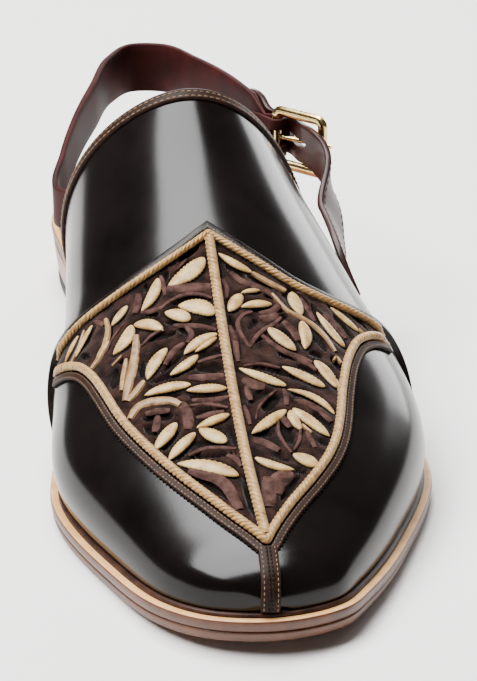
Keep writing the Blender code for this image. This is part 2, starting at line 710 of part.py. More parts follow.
# ---------------------------------------------------------------- sling strap and buckle
def buckle_place(along, outward, upward=0.0):
    """Point in the buckle's own directions: toward the toe, away from the foot, and up."""
    turn = math.radians(BUCKLE_TURN)
    ahead = np.array([math.cos(turn), -math.sin(turn), 0.0])
    away = np.array([math.sin(turn), math.cos(turn), 0.0])
    return np.array(BUCKLE_CENTRE) + ahead * along + away * outward + np.array([0.0, 0.0, upward])


def build_sling(skins):
    """Strap from inside the medial topline, round the heel, folded round the buckle's rear bar."""
    rows = seated_rows(MEDIAL, SLING_START, 13.0, STRAP_THICK)
    rows += [strap_row((row.x, row.back, row.up), row.width, STRAP_THICK) for row in SLING]
    path = smooth_path(rows, 40)
    bar = -BUCKLE_LENGTH / 2
    layer = (FOLD_THICK + GAP) / 2
    bend = BUCKLE_RIM + GAP + FOLD_THICK / 2
    turns = np.radians(np.linspace(100, -100, 11))
    fold = [buckle_place(bar - 7.0, layer)]
    fold += [buckle_place(bar + bend * math.cos(t), bend * math.sin(t)) for t in turns]
    fold += [buckle_place(bar - 7.0, -layer), buckle_place(bar - FOLD_LENGTH, -layer)]
    ending = np.array([strap_row(point, BUCKLE_STRAP_WIDTH, FOLD_THICK) for point in fold])
    rings = strap_rings(np.vstack([path, ending]))
    strap = new_object("sling_strap", ring_body("sling_strap", rings), skins["strap"], 40)
    slot = [buckle_place(bar + a, o, u) for a in (-1.8, 5.0) for o in (-3.4, 1.5) for u in (-3.0, 3.0)]
    apply_boolean(strap, box_cutter("fold_slot_cutter", slot), "DIFFERENCE")


def box_cutter(name, corners):
    """Hidden box with the eight given corners, listed by its three directions in turn."""
    faces = [(0, 1, 3, 2), (4, 6, 7, 5), (0, 4, 5, 1), (2, 3, 7, 6), (0, 2, 6, 4), (1, 5, 7, 3)]
    thing = bpy.data.objects.new(name, body_mesh(name, corners, faces))
    bpy.context.scene.collection.objects.link(thing)
    return thing


def build_buckle_strap(skins):
    """Strap from the outer wall, inside the front bar and over the rear one, with its free end."""
    half = BUCKLE_LENGTH / 2
    clear = BUCKLE_WIRE + GAP + BUCKLE_STRAP_THICK / 2
    over = BUCKLE_RIM + 2 * GAP + FOLD_THICK + BUCKLE_STRAP_THICK / 2
    width, thick = BUCKLE_STRAP_WIDTH, BUCKLE_STRAP_THICK
    points = [buckle_place(half + 1.5, -clear - 1.4, -1.2)]
    points += [buckle_place(half - 3.0, -clear + 0.2), buckle_place(0.0, 0.4)]
    points += [buckle_place(-half + 3.0, over - 0.5), buckle_place(-half, over + 0.3)]
    points += [buckle_place(-half - 6.0, over - 0.8, 0.8)]
    points += [np.array(place) for place in FREE_END_PLACES]
    rows = seated_rows(LATERAL, BUCKLE_STRAP_SEAT, width, thick)
    rows.append(strap_row(BUCKLE_STRAP_RISE, BUCKLE_ROOT_WIDTH, thick, BUCKLE_STRAP_LEAN))
    rows = smooth_path(rows + [strap_row(point, width, thick) for point in points], 36)
    rows[-3:, 3] *= (0.9, 0.72, 0.4)
    strap = new_object("buckle_strap", ring_body("buckle_strap", strap_rings(rows)), skins["strap"], 40)
    hole = [buckle_place(a, o, u) for a in (-6.4, 4.6) for o in (-4.0, 5.5) for u in (-1.4, 1.4)]
    apply_boolean(strap, box_cutter("prong_hole_cutter", hole), "DIFFERENCE")


def build_buckle(skins):
    """Rounded wire frame and its prong."""
    along, up = BUCKLE_LENGTH / 2, BUCKLE_HEIGHT / 2 - BUCKLE_RIM
    round_off = BUCKLE_CORNER - BUCKLE_RIM
    middle, outward = [], []
    for quarter, (a, u) in enumerate(((1, 1), (-1, 1), (-1, -1), (1, -1))):
        for turn in np.radians(np.linspace(0, 90, 4) + 90 * quarter):
            middle.append((a * (along - round_off) + round_off * math.cos(turn),
                           u * (up - round_off) + round_off * math.sin(turn)))
            outward.append((math.cos(turn), math.sin(turn)))
    rings = []
    for (a, u), (across, rise) in zip(middle, outward):
        ring = []
        for turn in np.arange(8) * math.pi / 4:
            out = BUCKLE_RIM * math.cos(turn)
            ring.append(buckle_place(a + out * across, BUCKLE_WIRE * math.sin(turn), u + out * rise))
        rings.append(ring)
    new_object("buckle_frame", ring_body("buckle_frame", rings, closed=True), skins["brass"], 50)
    start, end = -along + BUCKLE_RIM + GAP, along + BUCKLE_RIM + 0.4
    rest = BUCKLE_WIRE + GAP + PRONG_RADIUS
    prong = []
    stations = ((start, 0.2, 0.9), (start + 3, 0.8, 1), (along - 3, rest - 0.3, 1), (end - 1, rest, 0.9),
                (end, rest - 0.1, 0.5))
    for a, o, share in stations:
        size = PRONG_RADIUS * share
        prong.append([
            buckle_place(a, o + size * math.cos(t), size * math.sin(t)) for t in np.arange(8) * math.pi / 4
        ])
    new_object("buckle_prong", ring_body("buckle_prong", prong), skins["brass"], 50)


MATERIALS = {
    "heel_cap": ((0.020, 0.016, 0.014), 0.7, 0.0),
    "heel_block": ((0.16, 0.065, 0.035), 0.35, 0.0),
    "outsole": ((0.38, 0.20, 0.10), 0.45, 0.0),
    "welt": ((0.80, 0.56, 0.36), 0.5, 0.0),
    "insole": ((0.11, 0.035, 0.026), 0.45, 0.0),
    "upper": ((0.010, 0.008, 0.007), 0.16, 0.0),
    "leaf_panel": ((0.09, 0.035, 0.025), 0.7, 0.0),
    "cord": ((0.66, 0.47, 0.26), 0.5, 0.0),
    "binding": ((0.055, 0.022, 0.014), 0.45, 0.0),
    "strap": ((0.07, 0.014, 0.012), 0.35, 0.0),
    "brass": ((0.86, 0.68, 0.38), 0.2, 1.0),
}


def make_materials():
    """One Principled material for each finish."""
    skins = {}
    for name, (colour, roughness, metallic) in MATERIALS.items():
        skin = bpy.data.materials.new(name)
        skin.use_nodes = True
        shader = skin.node_tree.nodes["Principled BSDF"]
        shader.inputs["Base Color"].default_value = (*colour, 1)
        shader.inputs["Roughness"].default_value = roughness
        shader.inputs["Metallic"].default_value = metallic
        skins[name] = skin
    return skins


def build():
    """Remove what is in the scene and build the sandal."""
    for thing in list(bpy.data.objects):
        bpy.data.objects.remove(thing)
    skins = make_materials()
    build_sole(skins)
    build_upper(skins)
    build_leaf_panel(skins)
    build_cords(skins)
    build_bindings(skins)
    build_toe_seam(skins)
    build_collar(skins)
    build_sling(skins)
    build_buckle_strap(skins)
    build_buckle(skins)


build()
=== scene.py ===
"""Peshawari sandal, left shoe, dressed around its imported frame.

Sizes are millimetres in the shoe's own directions (x, back, up): x grows toward the outer side,
back is the distance behind the toe tip and up is the height above the floor.
"""
import logging
import math
from collections.abc import Sequence
from dataclasses import dataclass
from enum import Enum, IntEnum
from functools import cache
from typing import NamedTuple

import bpy
import numpy as np
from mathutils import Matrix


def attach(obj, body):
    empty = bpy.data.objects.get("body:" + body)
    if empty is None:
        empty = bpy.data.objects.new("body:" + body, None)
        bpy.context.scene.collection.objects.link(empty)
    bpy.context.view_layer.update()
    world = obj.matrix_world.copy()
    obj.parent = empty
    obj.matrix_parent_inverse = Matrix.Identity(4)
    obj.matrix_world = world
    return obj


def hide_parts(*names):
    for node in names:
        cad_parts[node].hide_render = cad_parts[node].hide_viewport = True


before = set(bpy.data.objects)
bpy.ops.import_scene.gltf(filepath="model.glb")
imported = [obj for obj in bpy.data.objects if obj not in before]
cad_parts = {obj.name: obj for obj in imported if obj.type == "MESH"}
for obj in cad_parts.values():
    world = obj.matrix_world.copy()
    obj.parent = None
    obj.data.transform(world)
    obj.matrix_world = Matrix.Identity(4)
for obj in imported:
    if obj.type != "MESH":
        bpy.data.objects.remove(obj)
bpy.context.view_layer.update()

LOG = logging.getLogger("sandal")
MM = 0.001
HEEL_CENTRE = 266.0
GAP = 0.3
BODY = "root"
TAU = 2 * math.pi

Array = np.ndarray


class Side(IntEnum):
    """The two sides of the shoe."""

    MEDIAL = -1
    LATERAL = 1


# ---------------------------------------------------------------- curves
def smooth_curve(places: Array, values: Array, at: Array) -> Array:
    """Read a smooth curve through given values.

    Args:
        places: where the values stand, rising.
        values: the value at each place.
        at: the places to read.

    Returns:
        The curve's values there, with slopes taken from the neighbours.
    """
    slopes = np.gradient(values, places)
    at = np.asarray(at, float)
    left = np.clip(np.searchsorted(places, at) - 1, 0, len(places) - 2)
    span = places[left + 1] - places[left]
    part = np.clip((at - places[left]) / span, -0.5, 1.5)
    start = (2 * part**3 - 3 * part**2 + 1) * values[left]
    leave = (part**3 - 2 * part**2 + part) * span * slopes[left]
    end = (-2 * part**3 + 3 * part**2) * values[left + 1]
    arrive = (part**3 - part**2) * span * slopes[left + 1]
    return start + leave + end + arrive


def run_lengths(points: Array) -> Array:
    """Length of a path up to each of its points."""
    return np.concatenate([[0.0], np.cumsum(np.linalg.norm(np.diff(points, axis=0), axis=1))])


def read_path(at: Array, lengths: Array, rows: Array) -> Array:
    """Rows of a path at lengths along it, straight between its points."""
    return np.stack([np.interp(at, lengths, column) for column in rows.T], 1)


def smooth_path(points: Sequence[Sequence[float]], count: int) -> Array:
    """Space points evenly on a smooth curve.

    Args:
        points: the points that the curve passes, with any further columns.
        count: how many points to return.

    Returns:
        The evenly spaced rows.
    """
    points = np.array(points, float)
    places = run_lengths(points)
    fine = np.linspace(0, places[-1], 12 * len(points))
    curve = np.stack([smooth_curve(places, points[:, k], fine) for k in range(points.shape[1])], 1)
    lengths = run_lengths(curve)
    return read_path(np.linspace(0, lengths[-1], count), lengths, curve)


def unit(vectors: Array) -> Array:
    """Vectors scaled to length one."""
    return vectors / np.maximum(np.linalg.norm(vectors, axis=-1, keepdims=True), 1e-12)


def ease(part: Array) -> Array:
    """Smooth step from 0 to 1."""
    part = np.clip(part, 0, 1)
    return part * part * (3 - 2 * part)


def centripetal(before: Array, start: Array, end: Array, after: Array, part: float) -> Array:
    """Read a centripetal spline span.

    Args:
        before: the corner before the span.
        start: the span's first corner.
        end: the span's last corner.
        after: the corner after the span.
        part: how far along the span, 0 to 1.

    Returns:
        The point there.
    """
    knots = [0.0]
    for a, b in ((before, start), (start, end), (end, after)):
        knots.append(knots[-1] + np.linalg.norm(b - a) ** 0.5)
    t = knots[1] + (knots[2] - knots[1]) * part

    def blend(a: Array, b: Array, low: float, high: float) -> Array:
        """Share of two points by the knot value."""
        return ((high - t) * a + (t - low) * b) / (high - low)

    first = blend(before, start, knots[0], knots[1])
    middle = blend(start, end, knots[1], knots[2])
    last = blend(end, after, knots[2], knots[3])
    early, late = blend(first, middle, knots[0], knots[2]), blend(middle, last, knots[1], knots[3])
    return blend(early, late, knots[1], knots[2])


# ---------------------------------------------------------------- the shoe's shape
class Outline(NamedTuple):
    """How far the sole's two edges stand from its long axis."""

    back: float
    medial: float
    lateral: float


class Ridge(NamedTuple):
    """A point of the upper's ridge."""

    back: float
    up: float
    x: float


class Rib(NamedTuple):
    """A rib from the ridge (run) to the welt (foot), with its two pulls."""

    run: float
    foot: float
    reach: float
    rise: float
    lean: float


class Spot(NamedTuple):
    """A place on the upper: run along the ridge, drop toward the welt."""

    run: float
    drop: float


@dataclass(frozen=True)
class SolePlan:
    """Outline and underside of the sole."""

    length: float = 300.0
    toe_tip_x: float = -4.3
    toe_spring: float = 4.6
    tread_start: float = 62.0
    tread_end: float = 105.0
    seat_start: float = 205.0
    heel_lift: float = 16.0
    welt_reach: float = 3.4
    steps: int = 24
    rows: tuple[Outline, ...] = (
        Outline(5, -22.8, 13), Outline(17, -35, 23.4), Outline(42, -45.5, 38.5),
        Outline(80, -55.5, 55), Outline(115, -51, 55.5), Outline(152, -43, 53),
        Outline(190, -37, 48), Outline(230, -35.5, 42), Outline(268, -35, 37),
        Outline(292, -21, 22),
    )

    def bottom(self, back: Array) -> Array:
        """Height of the underside: toe spring, flat tread, arch and heel seat."""
        back = np.asarray(back, float)
        spring = self.toe_spring * np.clip(1 - back / self.tread_start, 0, 1) ** 2
        return spring + self.heel_lift * ease((back - self.tread_end) / (self.seat_start - self.tread_end))

    def outline(self) -> Array:
        """Closed outline as (back, x) points: toe, medial side, heel, lateral side."""
        corners = [(0.0, self.toe_tip_x)] + [(row.back, row.medial) for row in self.rows]
        corners += [(self.length, 0.0)] + [(row.back, row.lateral) for row in reversed(self.rows)]
        corners = np.array(corners, float)
        points = []
        for k in range(len(corners)):
            span = [corners[(k + i) % len(corners)] for i in (-1, 0, 1, 2)]
            points += [centripetal(*span, i / self.steps) for i in range(self.steps)]
        return np.array(points)

    def half(self) -> int:
        """Index of the heel's last point in the outline."""
        return (len(self.rows) + 1) * self.steps


PLAN = SolePlan()
BASE_OUTLINE = PLAN.outline()


def side_rail(inset: Array | float, side: Side) -> Array:
    """Move the outline inward and take one side of it.

    Args:
        inset: how far to move it, once or for each point.
        side: which side to return.

    Returns:
        The (back, x) points from the toe to the heel.
    """
    along = unit(np.roll(BASE_OUTLINE, -1, 0) - np.roll(BASE_OUTLINE, 1, 0))
    inward = np.stack([-along[:, 1], along[:, 0]], 1)
    points = BASE_OUTLINE + inward * np.broadcast_to(inset, len(BASE_OUTLINE))[:, None]
    if side == Side.MEDIAL:
        return points[: PLAN.half() + 1]
    return np.vstack([points[:1], points[: PLAN.half() - 1: -1]])


@dataclass(frozen=True)
class Last:
    """The form that the upper is pulled over, and the lines drawn on it."""

    feather: float = 6.8
    topline_foot: float = 196.0
    step: float = 0.002
    ridge: tuple[Ridge, ...] = (
        Ridge(3.4, 11.0, -7.6), Ridge(3.0, 15.5, -7.5), Ridge(5.5, 20.0, -7.0),
        Ridge(12, 23.6, -6.4), Ridge(25, 27.6, -6.2), Ridge(45, 33.6, -6.2),
        Ridge(70, 41.4, -5.4), Ridge(95, 50.6, -4.2), Ridge(117, 60.0, -3.0),
        Ridge(134, 68.2, -2.2), Ridge(155, 79.0, -1.5), Ridge(180, 94.0, -0.8),
    )
    medial_ribs: tuple[Rib, ...] = (
        Rib(0, 0, 0.1, 0.1, 0), Rib(0.05, 0.062, 9, 6, 0.5), Rib(0.085, 0.125, 16, 9, 1),
        Rib(0.14, 0.20, 20, 13, 2), Rib(0.235, 0.32, 24, 19, 6), Rib(0.36, 0.45, 27, 24, 11),
        Rib(0.48, 0.57, 27.5, 28, 13.5), Rib(0.60, 0.67, 26.5, 32, 15.5),
        Rib(0.70, 0.76, 24, 35, 14), Rib(0.82, 0.87, 22, 38, 16), Rib(1, 1, 18, 40, 18),
    )
    lateral_ribs: tuple[Rib, ...] = (
        Rib(0, 0, 0.1, 0.1, 0), Rib(0.05, 0.062, 9, 6, 0.5), Rib(0.085, 0.125, 16, 9, 1),
        Rib(0.14, 0.20, 21, 13, 2), Rib(0.235, 0.32, 29, 19, 5), Rib(0.36, 0.45, 32, 24, 7),
        Rib(0.48, 0.57, 36, 28, 11), Rib(0.60, 0.67, 31.5, 32, 10), Rib(0.70, 0.76, 29, 35, 4),
        Rib(0.82, 0.87, 25, 38, 0), Rib(1, 1, 22.5, 40, -5),
    )

    def ridge_point(self, run: Array) -> Array:
        """Point on the ridge at a share of its length."""
        points = np.array(self.ridge, float)
        places = run_lengths(points[:, :2])
        places = places / places[-1]
        return np.stack([smooth_curve(places, points[:, k], run) for k in (2, 0, 1)], -1)

    def ridge_length(self) -> float:
        """Length of the ridge."""
        return float(run_lengths(np.array(self.ridge, float)[:, :2])[-1])

    def foot_point(self, side: Side, share: Array) -> tuple[Array, Array]:
        """Find where a rib meets the welt.

        Args:
            side: the side of the shoe.
            share: place along the welt, 0 at the toe and 1 under the topline.

        Returns:
            The points, and the level directions that lead outward there.
        """
        rail = side_rail(PLAN.welt_reach, side)
        rail = rail[rail[:, 0] <= self.topline_foot + 6]
        lengths = run_lengths(rail)
        third = len(rail) // 3
        places = lengths / np.interp(self.topline_foot, rail[third:, 0], lengths[third:])

        def at(place: Array) -> Array:
            """Point of the welt line as (x, back)."""
            return np.stack([np.interp(place, places, rail[:, k]) for k in (1, 0)], -1)

        point, along = at(share), at(share + 2 * self.step) - at(share - 2 * self.step)
        outward = unit(np.stack([along[..., 1], -along[..., 0]], -1)) * int(side)
        height = (PLAN.bottom(point[..., 1]) + self.feather)[..., None]
        return np.concatenate([point, height], -1), np.concatenate([outward, np.zeros_like(height)], -1)

    def surface(self, side: Side, run: Array, drop: Array) -> Array:
        """Read the outside of the upper.

        Args:
            side: the side of the shoe.
            run: place along the ridge, 0 at the toe.
            drop: place down the rib, 0 at the ridge and 1 at the welt.

        Returns:
            The points.
        """
        run, drop = np.broadcast_arrays(np.asarray(run, float), np.asarray(drop, float))
        ribs = np.array(self.medial_ribs if side == Side.MEDIAL else self.lateral_ribs, float)
        share, reach, rise, lean = (smooth_curve(ribs[:, 0], ribs[:, k], run)[..., None] for k in range(1, 5))
        top = self.ridge_point(run)
        foot, outward = self.foot_point(side, share[..., 0])
        top_pull = top + reach * np.array([int(side), 0.0, 0.0])
        foot_pull = foot + lean * outward + rise * np.array([0.0, 0.0, 1.0])
        d = drop[..., None]
        near = (1 - d) ** 3 * top + 3 * (1 - d) ** 2 * d * top_pull
        return near + 3 * (1 - d) * d**2 * foot_pull + d**3 * foot

    def slopes(self, side: Side, run: Array, drop: Array) -> tuple[Array, Array]:
        """Directions in which the surface goes as run and as drop grow."""
        step = self.step
        run = np.maximum(np.asarray(run, float), 3 * step)
        by_run = self.surface(side, run + step, drop) - self.surface(side, run - step, drop)
        by_drop = self.surface(side, run, drop + step) - self.surface(side, run, drop - step)
        return by_run / (2 * step), by_drop / (2 * step)

    def normal(self, side: Side, run: Array, drop: Array) -> Array:
        """Unit direction that leaves the upper's outside."""
        by_run, by_drop = self.slopes(side, run, drop)
        return unit(np.cross(by_drop, by_run)) * int(side)

    def lifted(self, side: Side, run: Array, drop: Array, proud: Array | float = 0.0) -> Array:
        """Point on the upper, lifted off its outside by a distance."""
        proud = np.asarray(proud, float)[..., None]
        return self.surface(side, run, drop) + self.normal(side, run, drop) * proud

    def walk(self, side: Side, run: Array, drop: Array, direction: Array,
             distance: Array) -> tuple[Array, Array]:
        """Go a distance over the surface.

        Args:
            side: the side of the shoe.
            run: starting run.
            drop: starting drop.
            direction: unit direction of travel.
            distance: how far to go.

        Returns:
            The run and drop reached.
        """
        for _ in range(2):
            by_run, by_drop = self.slopes(side, run, drop)
            goal = direction * np.asarray(distance)[..., None] / 2
            pairs = ((by_run, by_run), (by_run, by_drop), (by_drop, by_drop))
            stretch, skew, spread = ((a * b).sum(-1) for a, b in pairs)
            first, second = (by_run * goal).sum(-1), (by_drop * goal).sum(-1)
            whole = stretch * spread - skew**2
            run = run + (first * spread - second * skew) / whole
            drop = drop + (second * stretch - first * skew) / whole
        return run, drop


LAST = Last()


def side_spots(side: Side, places: Array) -> Array:
    """Rows of side, run and drop from rows of run and drop."""
    return np.hstack([np.full((len(places), 1), float(side)), places])


@dataclass(frozen=True)
class Line:
    """A line drawn on the upper from its medial end, over the ridge, to its lateral end."""

    medial: tuple[Spot, ...]
    lateral: tuple[Spot, ...]
    medial_share: float = 1.0
    lateral_share: float = 1.0

    def half(self, side: Side, count: int, whole: bool = False) -> Array:
        """Space spots evenly along one side of the line.

        Args:
            side: the side of the shoe.
            count: how many spots.
            whole: True to ignore the share that a cord follows.

        Returns:
            Rows of side, run and drop, from the ridge outward.
        """
        inner = side == Side.MEDIAL
        dense = smooth_path(self.medial if inner else self.lateral, 160)
        share = self.medial_share if inner else self.lateral_share
        lengths = run_lengths(LAST.surface(side, dense[:, 0], dense[:, 1]))
        even = np.linspace(0, lengths[-1] * (1.0 if whole else share), count)
        return side_spots(side, read_path(even, lengths, dense))

    def across(self, count: int, whole: bool = False) -> Array:
        """Spots from the medial end to the lateral end, the given number on each side."""
        medial, lateral = (self.half(side, count, whole) for side in Side)
        return np.vstack([medial[::-1], lateral[1:]])


TOE_LINE = Line(
    medial=(
        Spot(0.105, 0), Spot(0.179, 0.155), Spot(0.272, 0.295), Spot(0.358, 0.377), Spot(0.426, 0.427),
        Spot(0.465, 0.463), Spot(0.502, 0.515), Spot(0.527, 0.58), Spot(0.547, 0.66), Spot(0.566, 0.73),
    ),
    lateral=(
        Spot(0.105, 0), Spot(0.168, 0.12), Spot(0.226, 0.225), Spot(0.265, 0.277), Spot(0.30, 0.306),
        Spot(0.345, 0.324), Spot(0.40, 0.333), Spot(0.447, 0.35), Spot(0.49, 0.393), Spot(0.523, 0.472),
        Spot(0.54, 0.57), Spot(0.546, 0.625),
    ),
)
INSTEP_LINE = Line(
    medial=(
        Spot(0.713, 0), Spot(0.687, 0.093), Spot(0.66, 0.20), Spot(0.636, 0.31), Spot(0.618, 0.415),
        Spot(0.607, 0.52), Spot(0.599, 0.62), Spot(0.589, 0.72), Spot(0.568, 0.80), Spot(0.54, 0.885),
        Spot(0.515, 0.97),
    ),
    lateral=(
        Spot(0.713, 0), Spot(0.684, 0.069), Spot(0.649, 0.156), Spot(0.612, 0.25), Spot(0.588, 0.36),
        Spot(0.577, 0.46), Spot(0.572, 0.55), Spot(0.567, 0.64), Spot(0.556, 0.72), Spot(0.535, 0.79),
        Spot(0.505, 0.87), Spot(0.47, 0.96),
    ),
    medial_share=0.70,
    lateral_share=0.67,
)


def ridge_spots(start: float, end: float, count: int) -> Array:
    """Spots along the ridge between two runs."""
    runs = np.linspace(start, end, count)
    return side_spots(Side.LATERAL, np.stack([runs, np.zeros(count)], 1))


@dataclass(frozen=True)
class Trail:
    """A strip's way over the upper, with its directions at every spot."""

    spots: Array
    mitre_limit: float = 0.62

    def _by_side(self) -> list[tuple[Side, Array]]:
        """The sides that the trail touches, each with a mask of its spots."""
        masks = [(side, self.spots[:, 0] == side) for side in Side]
        return [(side, on) for side, on in masks if on.any()]

    def frames(self) -> tuple[Array, Array, Array, Array]:
        """Work out the trail's own directions.

        Returns:
            Middle points, normals, directions across (to the right of travel), and mitres.
        """
        middle, normal = np.zeros((2, len(self.spots), 3))
        for side, on in self._by_side():
            _, run, drop = self.spots[on].T
            middle[on], normal[on] = LAST.surface(side, run, drop), LAST.normal(side, run, drop)
        ahead = unit(np.diff(middle, axis=0))
        ahead = np.vstack([ahead[:1], ahead, ahead[-1:]])
        along = unit(ahead[:-1] + ahead[1:])
        mitre = 1 / np.clip((along * ahead[1:]).sum(1), self.mitre_limit, 1)
        return middle, normal, unit(np.cross(along, normal)), mitre

    def rings(self, section: Sequence[tuple[float, float]], widths: Array | float = 1.0,
              heights: Array | float = 1.0) -> Array:
        """Lay a section along the trail.

        Args:
            section: (across, proud) corners.
            widths: scale of the first value at each spot.
            heights: scale of the second value at each spot.

        Returns:
            An array of rings of points.
        """
        _, _, across, mitre = self.frames()
        widths, heights = (np.broadcast_to(scale, len(self.spots)) for scale in (widths, heights))
        rings = np.zeros((len(self.spots), len(section), 3))
        for side, on in self._by_side():
            _, runs, drops = self.spots[on].T
            for k, (offset, lift) in enumerate(section):
                run, drop = LAST.walk(side, runs, drops, across[on], offset * (mitre * widths)[on])
                rings[on, k] = LAST.lifted(side, run, drop, lift * heights[on])
        return rings


def flat_section(start: float, end: float, low: float, high: float,
                 soft: float = 0.3) -> list[tuple[float, float]]:
    """Flat strip's section with rounded upper corners."""
    bend = soft * 0.3
    return [
        (start, low), (end, low), (end, high - soft), (end - bend, high - bend), (end - soft, high),
        (start + soft, high), (start + bend, high - bend), (start, high - soft),
    ]


# ---------------------------------------------------------------- finishes
def colour(code: str) -> tuple[float, float, float, float]:
    """Linear colour of an sRGB hex code."""
    parts = [int(code[k:k + 2], 16) / 255 for k in (1, 3, 5)]
    linear = [c / 12.92 if c <= 0.04045 else ((c + 0.055) / 1.055) ** 2.4 for c in parts]
    return (*linear, 1.0)


def add_node(tree: bpy.types.NodeTree, kind: str, settings: dict | None = None,
             links: dict | None = None) -> bpy.types.Node:
    """Add a shader node.

    Args:
        tree: the material's tree.
        kind: the node's type.
        settings: sockets or properties and their values.
        links: input sockets and the (node, output socket) that feeds each.

    Returns:
        The node.
    """
    node = tree.nodes.new(kind)
    for key, value in (settings or {}).items():
        if isinstance(key, int) or key in node.inputs:
            node.inputs[key].default_value = value
        else:
            setattr(node, key, value)
    for key, (source, output) in (links or {}).items():
        tree.links.new(source.outputs[output], node.inputs[key])
    return node


class Reads(Enum):
    """What a pattern follows: the shoe's own metres, or a blank's centimetres."""

    OBJECT = "Object"
    BLANK = "UV"


@dataclass(frozen=True)
class Finish:
    """A surface with mottled colour and a grain.

    Sizes are millimetres: mottle is the width of a colour patch, grain that of one grain cell
    and depth how far the grain stands up.
    """

    name: str
    light: str
    dark: str
    roughness: float = 0.5
    swing: float = 0.08
    mottle: float = 9.0
    contrast: tuple[float, float] = (0.35, 0.65)
    grain: float = 0.7
    depth: float = 0.03
    specular: float = 0.5
    sheen: float = 0.0
    sheen_roughness: float = 0.4
    coat: float = 0.0
    coat_roughness: float = 0.1
    metallic: float = 0.0
    reads: Reads = Reads.OBJECT

    def unit_mm(self) -> float:
        """Millimetres in one unit of the coordinates that the pattern reads."""
        return 10.0 if self.reads == Reads.BLANK else 1000.0

    def make(self) -> bpy.types.Material:
        """Build the material."""
        skin = bpy.data.materials.new(self.name)
        skin.use_nodes = True
        tree = skin.node_tree
        shader = tree.nodes["Principled BSDF"]
        sockets = {
            "Specular IOR Level": self.specular,
            "Sheen Weight": self.sheen,
            "Sheen Roughness": self.sheen_roughness,
            "Coat Weight": self.coat,
            "Coat Roughness": self.coat_roughness,
            "Metallic": self.metallic,
        }
        for socket, value in sockets.items():
            shader.inputs[socket].default_value = value
        coords = (add_node(tree, "ShaderNodeTexCoord"), self.reads.value)
        mottle = {"Scale": self.unit_mm() / self.mottle, "Detail": 4.0, "Roughness": 0.6}
        patches = add_node(tree, "ShaderNodeTexNoise", mottle, {"Vector": coords})
        contrast = {"From Min": self.contrast[0], "From Max": self.contrast[1]}
        ramp = add_node(tree, "ShaderNodeMapRange", contrast, {"Value": (patches, "Fac")})
        shades = {"data_type": "RGBA", 6: colour(self.dark), 7: colour(self.light)}
        tint = add_node(tree, "ShaderNodeMix", shades, {0: (ramp, "Result")})
        tint = self.pattern(tree, coords, tint)
        tree.links.new(tint.outputs[2], shader.inputs["Base Color"])
        wear = {"To Min": self.roughness - self.swing, "To Max": self.roughness + self.swing}
        gloss = add_node(tree, "ShaderNodeMapRange", wear, {"Value": (patches, "Fac")})
        tree.links.new(gloss.outputs["Result"], shader.inputs["Roughness"])
        depth = {"Strength": 1.0, "Distance": self.depth * MM}
        bump = add_node(tree, "ShaderNodeBump", depth, {"Height": self.relief(tree, coords)})
        tree.links.new(bump.outputs["Normal"], shader.inputs["Normal"])
        return skin

    def pattern(self, tree: bpy.types.NodeTree, coords: tuple, tint: bpy.types.Node) -> bpy.types.Node:
        """Further colour over the mottle; plain finishes have none."""
        return tint

    def relief(self, tree: bpy.types.NodeTree, coords: tuple) -> tuple:
        """Height of the grain: pebbles with fine noise between them."""
        scale = self.unit_mm() / self.grain
        cells = add_node(tree, "ShaderNodeTexVoronoi", {"Scale": scale}, {"Vector": coords})
        fine = add_node(tree, "ShaderNodeTexNoise", {"Scale": scale * 2.5, "Detail": 2.0}, {"Vector": coords})
        both = {0: (cells, "Distance"), 1: (fine, "Fac")}
        return (add_node(tree, "ShaderNodeMath", {"operation": "ADD"}, both), "Value")


@dataclass(frozen=True)
class CutGroundWithPaintedShade(Finish):
    """Suede ground whose cut slots are dark, with painted shade round the leaves: both come from the mesh's
    own attribute.
    """

    # Near-black colour of the slots: the black upper seen through the cuts with painted shade, the instep
    # cord's painted shadow, and the painted shade round the leaves.
    slot: str = "#0a0402"

    def pattern(self, tree: bpy.types.NodeTree, coords: tuple, tint: bpy.types.Node) -> bpy.types.Node:
        """Darken the slots and paint the shade round the leaves."""
        cut = add_node(tree, "ShaderNodeAttribute", {"attribute_name": "slot"})
        shade = {"data_type": "RGBA", 7: colour(self.slot)}
        return add_node(tree, "ShaderNodeMix", shade, {0: (cut, "Fac"), 6: (tint, 2)})


@dataclass(frozen=True)
class Layered(Finish):
    """Leather built up in layers, their thickness in mm, with a dark line at every joint."""

    layer: float = 3.2
    line: str = "#2a1209"
    line_share: float = 0.12

    def pattern(self, tree: bpy.types.NodeTree, coords: tuple, tint: bpy.types.Node) -> bpy.types.Node:
        """Draw the joints at every layer's height."""
        value = (add_node(tree, "ShaderNodeSeparateXYZ", None, {0: coords}), "Z")
        steps = {"MULTIPLY": self.unit_mm() / self.layer, "FRACT": 0.0, "LESS_THAN": self.line_share}
        for operation, number in steps.items():
            sums = {"operation": operation, 1: number}
            value = (add_node(tree, "ShaderNodeMath", sums, {0: value}), "Value")
        shade = {"data_type": "RGBA", 7: colour(self.line)}
        return add_node(tree, "ShaderNodeMix", shade, {0: value, 6: (tint, 2)})


@dataclass(frozen=True)
class Fibres(Finish):
    """Thread with fine fibres, a fibre's width in mm and how much it is drawn out."""

    fibre: float = 0.12
    stretch: float = 0.12

    def relief(self, tree: bpy.types.NodeTree, coords: tuple) -> tuple:
        """Height of the fibres, stretched along the blank's length."""
        drawn = add_node(tree, "ShaderNodeMapping", {"Scale": (1.0, self.stretch, 1.0)}, {"Vector": coords})
        fibres = {"Scale": self.unit_mm() / self.fibre, "Detail": 2.0}
        return (add_node(tree, "ShaderNodeTexNoise", fibres, {"Vector": (drawn, "Vector")}), "Fac")


